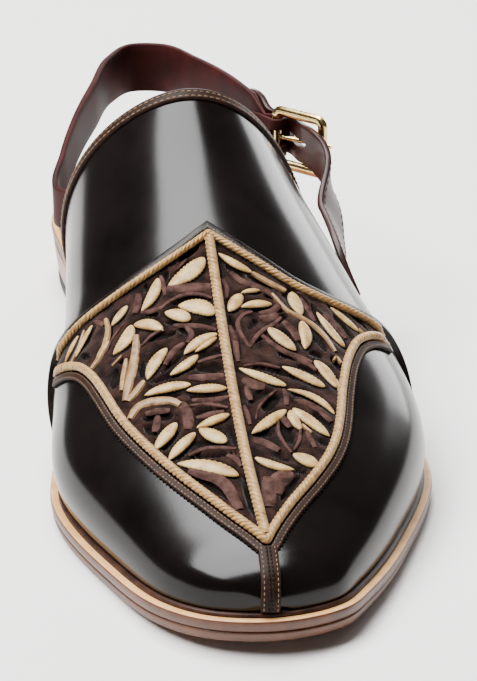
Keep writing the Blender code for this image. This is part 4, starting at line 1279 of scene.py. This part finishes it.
        # Two waves that cross, 6.5 and 8 mm long, cushion the suede.
        swell = self.swell * np.sin(x * 0.9 + back * 0.35) * np.sin(back * 0.75 - x * 0.2)
        lift = self.proud + swell - np.maximum(self.slot_depth * cut, self.leaf_bed * leaf_bed_and_shade)
        # Colour mask: near black in the slots, and painted shade round every leaf at 0.8 strength.
        dark = np.maximum(cut, 0.8 * leaf_bed_and_shade)
        ground = lay_blank("suede_ground", (points + normals * lift[:, None]).reshape(*grid.shape))
        slots = ground.data.attributes.new("slot", "FLOAT", "POINT")
        slots.data.foreach_set("value", dark.astype(np.float32))
        finish_with(ground, "SOLIDIFY", thickness=self.thick * MM, offset=-1.0)
        dress(ground, Skin.GROUND, "panel_leather", "leaf_panel")

    def leaf_places(self, model: Array) -> Array:
        """Vertices of every leaf, copies by vertices.

        Args:
            model: the leaf model as (across, along, up), each from its middle.

        Returns:
            The points.
        """
        across, share, up = model[:, 0], (model[:, 1] + 1) / 2, model[:, 2]
        outline = self.outline(np.clip(share, 1e-6, 1 - 1e-6))
        ring = np.round(np.arccos(np.clip(-model[:, 1], -1, 1)) / math.pi * self.leaf_rings)
        thread = 1 + self.thread * (-1) ** ring
        round_off = np.sqrt(np.maximum(1 - model[:, 1] ** 2, 1e-9))
        wide = np.where(round_off > 0.02, across / round_off, 0) * outline * thread
        high = np.where(round_off > 0.02, up / round_off, 0) * outline ** 0.6 * thread
        every = []
        for side, leaves in zip(Side, (self.medial_leaves, self.lateral_leaves)):
            for leaf in leaves:
                run, drop, sideways = self.middle(side, leaf, share)
                run, drop = LAST.walk(side, run, drop, sideways, wide * leaf.width / 2 * self.slimness)
                tall = self.leaf_height * min(1.0, 0.35 + leaf.width / 5)
                lift = np.where(high > 0, high * tall, high * self.leaf_under)
                every.append(LAST.lifted(side, run, drop, self.proud + 0.05 + lift))
        return np.array(every)

    def build_leaves(self) -> None:
        """Model one padded leaf and copy it to every place."""
        steps = {"segments": self.leaf_segments, "ring_count": self.leaf_rings}
        bpy.ops.mesh.primitive_uv_sphere_add(radius=1, **steps)
        model = bpy.context.active_object
        places = self.leaf_places(read_points(model)[:, [0, 2, 1]])
        dress(copies("satin_leaves", model, places), Skin.SILK, "gold_cord")

    def build_lines(self, name: str, charts: Sequence[tuple[Stem, ...]], height: float) -> bpy.types.Object:
        """Raise thin lines over the ground.

        Args:
            name: the piece's name.
            charts: the medial and the lateral lines.
            height: how far they stand up.

        Returns:
            All of them as one piece.
        """
        turns = np.arange(self.line_sides) * TAU / self.line_sides
        taper = 0.35 + 0.65 * np.sin(math.pi * np.linspace(0.06, 0.94, self.line_steps)) ** 0.5
        pieces = []
        for side, stems in zip(Side, charts):
            for stem in stems:
                spots = side_spots(side, smooth_path(np.array(stem.spots) / 100, self.line_steps))
                section = [(stem.width / 2 * math.cos(t), height * math.sin(t) + self.proud) for t in turns]
                pieces.append(ring_blank(name, Trail(spots).rings(section, taper)))
        return join(name, pieces)

    def build(self) -> None:
        """Make the ground, its leaves, the outline threads and the suede's veins."""
        self.build_ground()
        self.build_leaves()
        stems, veins = (self.medial_stems, self.lateral_stems), (self.medial_veins, self.lateral_veins)
        threads = self.build_lines("outline_threads", stems, self.thread_height)
        dress(threads, Skin.STEM, "gold_cord")
        # The veins' paler colour is painted highlight of the lit suede pieces.
        dress(self.build_lines("suede_veins", veins, self.vein_height), Skin.VEIN, "panel_leather")


# ---------------------------------------------------------------- upper
@dataclass(frozen=True)
class Upper:
    """The closed vamp and instep: one piece of leather pulled over the last."""

    runs: int = 170
    drops: int = 64
    wall: float = 2.2
    sink: float = 1.3
    toe_gap: float = 0.012
    toe_end: float = 0.13

    def panel_mask(self, side: Side, run: Array, drop: Array) -> Array:
        """Where the upper lies under the panel."""
        toe, top = TOE_LINE.half(side, 60)[:, 1:], INSTEP_LINE.half(side, 60)[:, 1:]
        loop = np.vstack([toe, top[::-1]])
        inside = np.zeros(run.shape, bool)
        for (a_run, a_drop), (b_run, b_drop) in zip(loop, np.roll(loop, -1, 0)):
            crosses = (a_drop > drop) != (b_drop > drop)
            with np.errstate(divide="ignore", invalid="ignore"):
                at = a_run + (drop - a_drop) * (b_run - a_run) / (b_drop - a_drop)
            inside ^= crosses & (run < at)
        return inside

    def skin(self) -> Array:
        """Grid of the outside, medial welt over the ridge to lateral welt."""
        fine = self.runs // 4
        toe = np.linspace(self.toe_gap, self.toe_end, fine, endpoint=False)
        runs = np.concatenate([toe, np.linspace(self.toe_end, 1, self.runs - fine)])
        drops = np.linspace(0, 1, self.drops)
        halves = []
        for side, order in ((Side.MEDIAL, drops[::-1]), (Side.LATERAL, drops[1:])):
            run, drop = np.meshgrid(runs, order, indexing="ij")
            sunk = np.where(self.panel_mask(side, run, drop + 1e-6), -self.sink, 0.0)
            halves.append(LAST.lifted(side, run, drop, sunk))
        return np.concatenate(halves, 1)

    def build(self) -> None:
        """Lay the leather, give it its wall and line it."""
        upper = lay_blank("vamp", self.skin(), smooth=50)
        lining = {"material_offset": 1, "material_offset_rim": 1}
        finish_with(upper, "SOLIDIFY", thickness=self.wall * MM, offset=-1.0, **lining)
        paint(upper, Skin.UPPER, Skin.UPPER_LINING)
        mount(upper, "upper_leather", "upper")


# ---------------------------------------------------------------- cords and strips
@dataclass(frozen=True)
class GoldCords:
    """Cords of four strands, laid twisted along the panel's borders and its spine."""

    toe_radius: float = 1.25
    instep_radius: float = 1.05
    spine_radius: float = 1.45
    strands: int = 4
    pitch: float = 6.4
    sides: int = 7
    step: float = 0.42
    spread: float = 0.38
    strand: float = 0.66
    spots: int = 90
    dive: int = 6
    dive_size: float = 0.4
    toe_meet: float = 0.008
    instep_meet: float = 0.012

    def cord(self, name: str, spots: Array, radius: float, sizes: Array) -> bpy.types.Object:
        """Lay one cord.

        Args:
            name: the cord's name.
            spots: its way over the upper.
            radius: its radius.
            sizes: scale of its radius at every spot, where it dives at its ends.

        Returns:
            The strands as one piece.
        """
        trail = Trail(spots)
        _, normal, across, _ = trail.frames()
        path = trail.rings([(0.0, GAP + radius)], 1.0, sizes)[:, 0]
        lengths = run_lengths(path)
        at = np.linspace(0, lengths[-1], int(lengths[-1] / self.step))
        path, normal, across = (read_path(at, lengths, rows) for rows in (path, normal, across))
        size = (np.interp(at, lengths, sizes) * radius)[:, None]
        normal, across = unit(normal), unit(across)
        ahead = unit(np.cross(normal, across))
        turns = (np.arange(self.sides) * TAU / self.sides)[None, :, None]
        pieces = []
        for strand in range(self.strands):
            twist = (at / self.pitch + strand / self.strands)[:, None] * TAU
            spoke = across * np.cos(twist) + normal * np.sin(twist)
            round_way = np.cross(ahead, spoke)
            ring = spoke[:, None] * np.cos(turns) + round_way[:, None] * np.sin(turns)
            middle = path + spoke * size * self.spread
            pieces.append(ring_blank(name, middle[:, None] + size[:, None] * self.strand * ring, smooth=60))
        return join(name, pieces)

    def build(self) -> None:
        """Lay the toe cord, the instep cord and the spine."""
        borders = ("toe_cord", TOE_LINE, self.toe_radius), ("instep_cord", INSTEP_LINE, self.instep_radius)
        for name, line, radius in borders:
            spots = line.across(self.spots)
            ends = np.minimum(np.arange(len(spots)), np.arange(len(spots))[::-1]) / self.dive
            sizes = self.dive_size + (1 - self.dive_size) * ease(ends)
            dress(self.cord(f"{name}_twist", spots, radius, sizes), Skin.CORD, "gold_cord", name)
        start = TOE_LINE.lateral[0].run + self.toe_meet
        spots = ridge_spots(start, INSTEP_LINE.lateral[0].run - self.instep_meet, self.spots)
        spine = self.cord("spine_cord_twist", spots, self.spine_radius, np.ones(self.spots))
        dress(spine, Skin.CORD, "gold_cord", "spine_cord")


@dataclass(frozen=True)
class Edging:
    """Leather strips outside the cords, over the toe's joint and round the topline, with their stitches."""

    near: float = 1.5
    width: float = 2.4
    thick: float = 0.8
    low: float = 0.05
    seam_width: float = 5.0
    seam_thick: float = 1.0
    seam_foot: float = 0.03
    seam_ends: tuple[float, float] = (0.018, 0.006)
    collar_width: float = 3.2
    collar_end: float = 0.97
    wall: float = 2.2
    smooth: float = 35.0
    toe_spots: int = 70
    instep_spots: int = 80
    seam_spots: int = 40
    collar_spots: int = 60
    slot: str = "binding_leather"

    def build_toe_edge(self) -> None:
        """Strip below the toe cord, two stitch rows and a whipped outer edge."""
        spots = TOE_LINE.across(self.toe_spots)[1:-1]
        far, top = self.near + self.width, GAP + self.thick
        rings = Trail(spots).rings(flat_section(self.near, far, self.low, top))
        dress(ring_blank("toe_edge_strip", rings, smooth=self.smooth), Skin.BINDING, self.slot, "toe_edge")
        rows = [trail_row(spots, self.near + offset, top) for offset in (0.5, 1.9)]
        Stitches(0.9, 1.35, 0.26, 0.15).sew("toe_edge_stitches", rows, Skin.THREAD, self.slot)
        whip = [trail_row(spots, far + 0.1, 0.25)]
        Stitches(0.8, 1.5, 0.45, 0.25, True).sew("toe_edge_whipping", whip, Skin.DARK_THREAD, self.slot)

    def build_instep_edge(self) -> None:
        """Dark rim above the instep cord, standing higher toward its wings."""
        spots = INSTEP_LINE.across(self.instep_spots, whole=True)
        out = np.abs(np.linspace(-1, 1, len(spots)))
        bolder = 1 + 0.9 * ease((out - 0.4) / 0.3)
        far, top = self.near + self.width, GAP + self.thick
        rings = Trail(spots).rings(flat_section(-far, -self.near, self.low, top), 1.0, bolder)
        dress(ring_blank("instep_rim", rings, smooth=self.smooth), Skin.RIM, self.slot, "instep_edge")
        inner = spots[out < 0.62]
        rows = [trail_row(inner, -self.near - 0.5, top + 0.02), trail_row(inner, -far - 0.5, self.low)]
        Stitches(0.6, 1.3, 0.3, 0.18).sew("instep_stitches", rows, Skin.THREAD, self.slot)

    def build_toe_seam(self) -> None:
        """Raised strip over the joint of the toe's two halves, with its stitches and a dark braid."""
        half, top = self.seam_width / 2, GAP + self.seam_thick
        start = TOE_LINE.lateral[0].run - self.near / LAST.ridge_length()
        trail = Trail(ridge_spots(start, self.seam_foot, self.seam_spots))
        rings = trail.rings(flat_section(-half, half, self.low, top, 0.4))
        falls = np.array([LAST.ridge_point(run) - LAST.ridge_point(self.seam_foot) for run in self.seam_ends])
        rings = np.concatenate([rings, rings[-1:] + falls[:, None]])
        dress(ring_blank("toe_seam_strip", rings, smooth=self.smooth), Skin.BINDING, self.slot, "toe_seam")
        normals = trail.frames()[1]
        normals = np.vstack([normals, normals[-1:], normals[-1:]])
        for name, offset, stitches, skin in (
            ("toe_seam_stitches", 1.75, Stitches(0.9, 1.4, 0.32, 0.2), Skin.THREAD),
            ("toe_seam_braid", 0.45, Stitches(1.1, 1.15, 0.6, 0.3), Skin.DARK_THREAD),
        ):
            paths = [trail.rings([(across, top)])[:, 0] for across in (-offset, offset)]
            rows = [(np.vstack([path, path[-1] + falls]), normals) for path in paths]
            stitches.sew(name, rows, skin, self.slot)

    def build_collar(self) -> None:
        """Binding folded over the topline, with two stitch rows."""
        inner, out, wide = -self.wall - GAP, GAP + 0.7, self.collar_width
        section = [
            (wide, self.low), (wide, GAP + 0.3), (wide - 0.4, out), (-0.4, out), (-0.9, GAP + 0.3),
            (-1.1, -0.6), (-1.1, -1.6), (-0.9, inner - 0.3), (-0.4, inner - 0.7), (wide - 0.8, inner - 0.7),
            (wide - 0.8, inner), (-GAP, inner), (-GAP, self.low),
        ]
        drops = np.linspace(0.0, self.collar_end, self.collar_spots)
        topline = np.stack([np.ones(self.collar_spots), drops], 1)
        medial, lateral = (side_spots(side, topline) for side in Side)
        spots = np.vstack([medial[::-1], lateral[1:]])
        collar = ring_blank("topline_binding", Trail(spots).rings(section), smooth=self.smooth)
        dress(collar, Skin.BINDING, self.slot, "collar_binding")
        rows = [trail_row(spots, offset, out) for offset in (0.5, 2.3)]
        Stitches(1.4, 2.0, 0.45, 0.25).sew("topline_stitches", rows, Skin.THREAD, self.slot)

    def build(self) -> None:
        """Make every strip."""
        self.build_toe_edge()
        self.build_instep_edge()
        self.build_toe_seam()
        self.build_collar()


# ---------------------------------------------------------------- sole and heel
class Edge(NamedTuple):
    """A corner of a layer's edge: how far in it lies and its height."""

    inset: float
    up: float


@dataclass(frozen=True)
class Layer:
    """One layer under the foot, round the outline from a place rearward.

    Heights count from the sole's underside, or from the floor for the heel's pieces.
    """

    name: str
    node: str
    slot: str
    edges: tuple[Edge, ...]
    skins: tuple[Skin, ...]
    start: float = 0.0
    floor: bool = False
    inside: bool = False
    columns: int = 8
    cover: float = 7.0
    open_edge: float = 1.8
    top_face: float = 0.75

    def inside_inset(self) -> Array:
        """Inset of a layer that keeps inside the upper's wall and widens behind it."""
        behind = ease((BASE_OUTLINE[:, 0] - LAST.topline_foot - 6) / 16)
        return self.cover + (self.open_edge - self.cover) * behind

    def build(self) -> None:
        """Sweep the layer's section from its front to the heel."""
        base = self.inside_inset() if self.inside else 0.0
        rails = {side: [side_rail(base + edge.inset, side) for edge in self.edges] for side in Side}
        first = int(np.searchsorted(rails[Side.LATERAL][0][:, 0], self.start)) if self.start else 0
        rings = []
        share = np.linspace(0, 1, self.columns + 1)[1:-1, None]
        heights = np.array([edge.up for edge in self.edges])
        for k in range(first, PLAN.half() + 1):
            sides = []
            for side in Side:
                back, x = np.array([rail[k] for rail in rails[side]]).T
                if self.start and k == first:
                    back[:] = self.start
                sides.append(np.stack([x, back, heights if self.floor else heights + PLAN.bottom(back)], 1))
            medial, lateral = sides
            top = medial[-1] + (lateral[-1] - medial[-1]) * share
            low = lateral[0] + (medial[0] - lateral[0]) * share
            rings.append(np.vstack([medial, top, lateral[::-1], low]))
        piece = ring_blank(self.name, np.array(rings), smooth=50)
        paint(piece, *self.skins)
        if len(self.skins) > 1:
            for face in piece.data.polygons:
                face.material_index = int(face.normal.z < self.top_face)
        mount(piece, self.slot, self.node)


def round_edge(low: float, high: float, inset: float = 0.0, low_inset: float = 0.0,
               soft: float = 0.5) -> tuple[Edge, ...]:
    """Edge of a layer with its two corners rounded."""
    bend = soft * 0.3
    return (
        Edge(low_inset + soft, low), Edge(low_inset + bend, low + bend), Edge(low_inset, low + soft),
        Edge((inset + low_inset) / 2 - 0.12, (low + high) / 2),
        Edge(inset, high - soft), Edge(inset + bend, high - bend), Edge(inset + soft, high),
    )


@dataclass(frozen=True)
class Sole:
    """Welt, outsole, insole and the stacked heel."""

    layers: tuple[Layer, ...] = (
        Layer("heel_top_piece", "heel_cap", "heel_rubber",
              round_edge(0.0, 4.5, 1.9, 2.1, 0.5), (Skin.RUBBER,), 229, True),
        Layer("heel_lifts", "heel_block", "heel_stack",
              round_edge(4.7, 15.9, 0.7, 1.9, 0.4), (Skin.HEEL,), 228, True),
        Layer("bend_outsole", "outsole", "sole_leather",
              round_edge(0.0, 3.05, 0.3, 0.8, 0.6), (Skin.SOLE,)),
        Layer("sole_welt", "welt", "welt_leather",
              round_edge(3.1, 6.5, 0.0, 0.1, 0.7), (Skin.WELT, Skin.WELT_EDGE)),
        Layer("foot_bed", "insole", "insole_leather",
              round_edge(6.7, 9.2, 0.0, 0.0, 0.6), (Skin.INSOLE,), inside=True),
    )

    def build(self) -> None:
        """Make every layer."""
        for layer in self.layers:
            layer.build()


@dataclass(frozen=True)
class ShadeRand:
    """Strip on the welt, tight against the upper's foot, dark as painted shade where the upper meets the
    welt.
    """

    outer: float = 2.2
    inner: float = 3.9
    low: float = 6.55
    high: float = 7.7
    soft: float = 0.4

    def build(self) -> None:
        """Run the strip from the medial topline round the toe to the lateral one."""
        edges = (
            Edge(self.inner, self.low), Edge(self.inner, self.high), Edge(self.outer + self.soft, self.high),
            Edge(self.outer, self.high - self.soft), Edge(self.outer, self.low),
        )
        heights = np.array([edge.up for edge in edges])
        rings = []
        for side in Side:
            rails = [side_rail(edge.inset, side) for edge in edges]
            last = int(np.searchsorted(rails[0][:, 0], LAST.topline_foot))
            for k in range(last, 0, -1) if side == Side.MEDIAL else range(last):
                back, x = np.array([rail[k] for rail in rails]).T
                rings.append(np.stack([x, back, PLAN.bottom(back) + heights], 1))
        dress(ring_blank("rand_painted_shade_strip", np.array(rings), smooth=50), Skin.RAND, "welt_leather")


# ---------------------------------------------------------------- straps and buckle
class Station(NamedTuple):
    """A station of a strap: its middle and width."""

    x: float
    back: float
    up: float
    width: float


class Seat(NamedTuple):
    """A station of a strap against the upper's wall."""

    run: float
    drop: float
    proud: float


@dataclass(frozen=True)
class Buckle:
    """Cast frame with its prong, in directions of its own."""

    centre: tuple[float, float, float] = (43.4, 219.5, 61.0)
    turn: float = 48.7
    length: float = 19.0
    height: float = 22.0
    wire: float = 1.3
    rim: float = 1.8
    corner: float = 4.0
    prong: float = 0.9
    sides: int = 18
    steps: int = 12
    slot: str = "buckle_brass"

    def place(self, along: float, outward: float, upward: float = 0.0) -> Array:
        """Point at distances toward the toe, away from the foot, and up."""
        turn = math.radians(self.turn)
        ahead = np.array([math.cos(turn), -math.sin(turn), 0.0])
        away = np.array([math.sin(turn), math.cos(turn), 0.0])
        return np.array(self.centre) + ahead * along + away * outward + np.array([0.0, 0.0, upward])

    def build(self) -> None:
        """Make the frame and the prong."""
        along, up = self.length / 2, self.height / 2 - self.rim
        round_off = self.corner - self.rim
        turns = np.arange(self.sides) * TAU / self.sides
        rings = []
        for quarter, (a, u) in enumerate(((1, 1), (-1, 1), (-1, -1), (1, -1))):
            for turn in np.radians(np.linspace(0, 90, self.steps) + 90 * quarter):
                ahead, rise = math.cos(turn), math.sin(turn)
                x, z = a * (along - round_off) + round_off * ahead, u * (up - round_off) + round_off * rise
                reach = self.rim * np.cos(turns)
                ring = zip(x + reach * ahead, self.wire * np.sin(turns), z + reach * rise)
                rings.append([self.place(*corner) for corner in ring])
        frame_piece = ring_blank("cast_frame", np.array(rings), True, 60)
        dress(frame_piece, Skin.BRASS, self.slot, "buckle_frame")
        start, end = -along + self.rim + GAP, along + self.rim + 0.4
        rest = self.wire + GAP + self.prong
        stations = smooth_path((
            (start, 0.2, 0.9), (start + 3, 0.8, 1), (along - 3, rest - 0.3, 1),
            (end - 1, rest, 0.9), (end, rest - 0.1, 0.5),
        ), 26)
        rings = []
        for a, o, share in stations:
            size = self.prong * share
            rings.append([self.place(a, o + size * math.cos(t), size * math.sin(t)) for t in turns])
        dress(ring_blank("cast_prong", np.array(rings), smooth=60), Skin.BRASS, self.slot, "buckle_prong")


BUCKLE = Buckle()


@dataclass(frozen=True)
class Strap:
    """A flat strap with two faces and soft edges, swept through stations."""

    soft: float = 0.5
    crown: float = 0.12
    smooth: float = 50.0
    slot: str = "strap_leather"

    def frames(self, rows: Array) -> tuple[Array, Array]:
        """Directions along the strap's width and through it at every station."""
        ahead = unit(np.diff(rows[:, :3], axis=0))
        ahead = np.vstack([ahead[:1], ahead, ahead[-1:]])
        along = unit(ahead[:-1] + ahead[1:])
        broad = unit(rows[:, 5:] - along * (rows[:, 5:] * along).sum(1, keepdims=True))
        return broad, unit(np.cross(along, broad))

    def sweep(self, name: str, rows: Array, *skins: Skin) -> bpy.types.Object:
        """Make the strap.

        Args:
            name: the piece's name.
            rows: stations as middle, width, thickness and the way the width points.
            skins: finishes of the face that looks through, of the other face and of the edges.

        Returns:
            The piece.
        """
        broad, through = self.frames(rows)
        half, thick = rows[:, 3:4] / 2, rows[:, 4:5] / 2
        soft = np.minimum(self.soft, thick * 0.66)
        flat, bend = half - soft, soft * 0.3
        shares = np.linspace(-1, 1, 7)[1:-1]
        corners = [(flat, thick)]
        corners += [(flat * -w, thick + self.crown * (1 - w * w)) for w in shares]
        corners += [
            (-flat, thick), (bend - half, thick - bend), (-half, thick - soft),
            (-half, soft - thick), (bend - half, bend - thick), (-flat, -thick),
        ]
        corners += [(flat * w, -thick) for w in shares]
        corners += [
            (flat, -thick), (half - bend, bend - thick), (half, soft - thick),
            (half, thick - soft), (half - bend, thick - bend),
        ]
        rings = np.stack([rows[:, :3] + broad * w + through * t for w, t in corners], 1)
        zones = np.array([0] * 6 + [2] * 5 + [1] * 6 + [2] * 5)
        piece = ring_blank(name, rings, smooth=self.smooth, zones=zones)
        paint(piece, *skins)
        return piece

    @staticmethod
    def seated(side: Side, seats: Sequence[Seat], width: float, thick: float) -> list[Array]:
        """Stations that lie along the upper's wall and lean with it."""
        rows = []
        for seat in seats:
            lean = -unit(LAST.slopes(side, seat.run, seat.drop)[1])
            rows.append(np.array([*LAST.lifted(side, *seat), width, thick, *lean]))
        return rows

    def cut(self, piece: bpy.types.Object, low: Sequence[float], high: Sequence[float]) -> None:
        """Cut a slot through a strap, boxed in the buckle's directions."""
        bpy.ops.mesh.primitive_cube_add(size=1)
        cutter = bpy.context.active_object
        corners = np.array(low) + (read_points(cutter) + 0.5) * (np.array(high) - np.array(low))
        write_points(cutter, place(np.array([BUCKLE.place(*corner) for corner in corners])))
        turn_outward(cutter)
        finish_with(piece, "BOOLEAN", operation="DIFFERENCE", solver="EXACT", object=cutter)
        bpy.data.objects.remove(cutter)
        shade(piece, self.smooth)


@dataclass(frozen=True)
class SlingStrap(Strap):
    """Strap from inside the medial topline, round the heel, folded round the buckle's rear bar."""

    thick: float = 2.0
    fold: float = 1.3
    tail: float = 11.0
    width: float = 13.5
    start: tuple[Seat, ...] = (Seat(0.90, 0.74, -5.2), Seat(0.955, 0.745, -5.4), Seat(1.0, 0.75, -5.6))
    loop: tuple[Station, ...] = (
        Station(-39.2, 208, 48.5, 13.5), Station(-35.0, 224, 54.0, 14.0), Station(-28.3, 243, 59.5, 15.0),
        Station(-20.5, 262, 63.0, 16.0), Station(-12.0, 283, 65.3, 17.0), Station(-3.0, 293.5, 65.8, 17.6),
        Station(7.5, 292, 65.8, 17.6), Station(17.5, 275, 66.0, 17.0), Station(25.5, 256, 66.0, 16.0),
        Station(31.0, 241, 64.8, 15.0),
    )

    def build(self) -> None:
        """Sweep the strap, fold its end and cut the prong's slot."""
        rows = self.seated(Side.MEDIAL, self.start, 13.0, self.thick)
        rows += [np.array([*station, self.thick, 0.0, 0.0, 1.0]) for station in self.loop]
        path = smooth_path(rows, 150)
        bar = -BUCKLE.length / 2
        layer = (self.fold + GAP) / 2
        bend = BUCKLE.rim + GAP + self.fold / 2
        turns = np.radians(np.linspace(100, -100, 25))
        fold = [(bar - 7.0, layer)] + [(bar + bend * math.cos(t), bend * math.sin(t)) for t in turns]
        fold += [(bar - 7.0, -layer), (bar - self.tail, -layer)]
        ending = [[*BUCKLE.place(*corner), self.width, self.fold, 0.0, 0.0, 1.0] for corner in fold]
        rows = np.vstack([path, ending])
        strap = self.sweep("heel_sling", rows, Skin.STRAP_LINING, Skin.STRAP, Skin.STRAP_EDGE)
        self.cut(strap, (bar - 1.8, -3.4, -3.0), (bar + 5.0, 1.5, 3.0))
        mount(strap, self.slot, "sling_strap")


@dataclass(frozen=True)
class BuckleStrap(Strap):
    """Strap from the outer wall, inside the front bar and over the rear one, with its free end."""

    thick: float = 2.2
    width: float = 13.5
    root_width: float = 19.0
    fold: float = 1.3
    seats: tuple[Seat, ...] = (Seat(0.785, 0.90, 1.7), Seat(0.81, 0.87, 1.9), Seat(0.84, 0.835, 2.6))
    rise: tuple[float, float, float] = (48.2, 188.5, 42.8)
    lean: tuple[float, float, float] = (-0.4, 0.0, 0.917)
    free_end: tuple[tuple[float, float, float], ...] = ((33.9, 241.2, 64.8), (30.2, 251.5, 65.4))
    tip: int = 12
    stitch_inset: float = 1.5

    def build(self) -> None:
        """Sweep the strap through the buckle, cut the prong's hole and sew its edges."""
        half = BUCKLE.length / 2
        clear = BUCKLE.wire + GAP + self.thick / 2
        over = BUCKLE.rim + 2 * GAP + self.fold + self.thick / 2
        through = (
            (half + 1.5, -clear - 1.4, -1.2), (half - 3.0, -clear + 0.2), (0.0, 0.4),
            (-half + 3.0, over - 0.5), (-half, over + 0.3), (-half - 6.0, over - 0.8, 0.8),
        )
        points = [*(BUCKLE.place(*corner) for corner in through), *self.free_end]
        rows = self.seated(Side.LATERAL, self.seats, self.width, self.thick)
        rows.append(np.array([*self.rise, self.root_width, self.thick, *self.lean]))
        rows += [np.array([*point, self.width, self.thick, 0.0, 0.0, 1.0]) for point in points]
        rows = smooth_path(rows, 120)
        rows[-self.tip:, 3] *= 0.3 + 0.7 * np.sqrt(1 - np.linspace(0, 1, self.tip) ** 2)
        strap = self.sweep("buckle_end", rows, Skin.STRAP, Skin.STRAP_LINING, Skin.STRAP_EDGE)
        self.cut(strap, (-6.4, -4.0, -1.4), (4.6, 5.5, 1.4))
        mount(strap, self.slot, "buckle_strap")
        self.stitch(rows[:-self.tip - 2])

    def stitch(self, rows: Array) -> None:
        """Sew a row near each edge, on the strap's outer face."""
        broad, through = self.frames(rows)
        lines = []
        for edge in (-1, 1):
            offset = edge * (rows[:, 3:4] / 2 - self.stitch_inset)
            lines.append((rows[:, :3] + broad * offset + through * (rows[:, 4:5] / 2 + 0.02), through))
        Stitches(1.7, 2.5, 0.4, 0.2).sew("buckle_end_stitches", lines, Skin.DARK_THREAD, self.slot)


# ---------------------------------------------------------------- studio
class Lamp(NamedTuple):
    """A softbox: where it stands, what it aims at, its size in metres and its power in watts."""

    spot: tuple[float, float, float]
    aim: tuple[float, float, float]
    size: tuple[float, float]
    power: float


@dataclass(frozen=True)
class Studio:
    """Pale floor, softboxes and the camera."""

    floor_size: float = 30.0
    floor_drop: float = 0.0002
    dusk: float = 0.08
    eye: tuple[float, float, float] = (-0.1105, -0.7922, 0.3328)
    target: tuple[float, float, float] = (0.0074, -0.1327, 0.0297)
    lens: float = 128.0
    lamps: tuple[Lamp, ...] = (
        Lamp((-0.66, -0.01, 1.6), (-0.665, -0.0015, 0.0), (2.1, 1.0), 145.0),
        Lamp((0.8, 1.45, 0.38), (0.0, -0.1, 0.05), (1.7, 0.65), 32.0),
    )

    def build(self) -> None:
        """Set the floor, the lights and the camera."""
        bpy.ops.mesh.primitive_plane_add(size=self.floor_size, location=(0, 0, 0))
        floor = bpy.context.active_object
        floor.name = "studio_floor"
        points = read_points(floor)
        points[:, 2] = -self.floor_drop
        write_points(floor, points)
        paint(floor, Skin.FLOOR)
        world = bpy.data.worlds.new("studio_air")
        world.use_nodes = True
        air = world.node_tree.nodes["Background"]
        air.inputs["Color"].default_value = (1.0, 1.0, 1.0, 1.0)
        air.inputs["Strength"].default_value = self.dusk
        bpy.context.scene.world = world
        for lamp in self.lamps:
            turn = self.look(lamp.spot, lamp.aim)
            bpy.ops.object.light_add(type="AREA", location=lamp.spot, rotation=turn)
            light = bpy.context.active_object.data
            light.shape = "RECTANGLE"
            light.size, light.size_y = lamp.size
            light.energy = lamp.power
        bpy.ops.object.camera_add(location=self.eye, rotation=self.look(self.eye, self.target))
        camera = bpy.context.active_object
        camera.data.lens = self.lens
        camera.data.clip_start = 0.05
        bpy.context.scene.camera = camera

    @staticmethod
    def look(spot: Sequence[float], aim: Sequence[float]) -> tuple[float, float, float]:
        """Turn that points a camera or a lamp from a spot at its aim, held level."""
        x, y, z = (b - a for a, b in zip(spot, aim))
        return (math.atan2(math.hypot(x, y), -z), 0.0, math.atan2(-x, y))


def main() -> None:
    """Dress the sandal and set the studio."""
    logging.basicConfig(level=logging.INFO, format="%(message)s")
    shoe = (Sole(), ShadeRand(), Upper(), LeafPanel(), GoldCords(), Edging(), SlingStrap(), BuckleStrap(), BUCKLE)
    for assembly in (*shoe, Studio()):
        assembly.build()


if __name__ == "__main__":
    main()
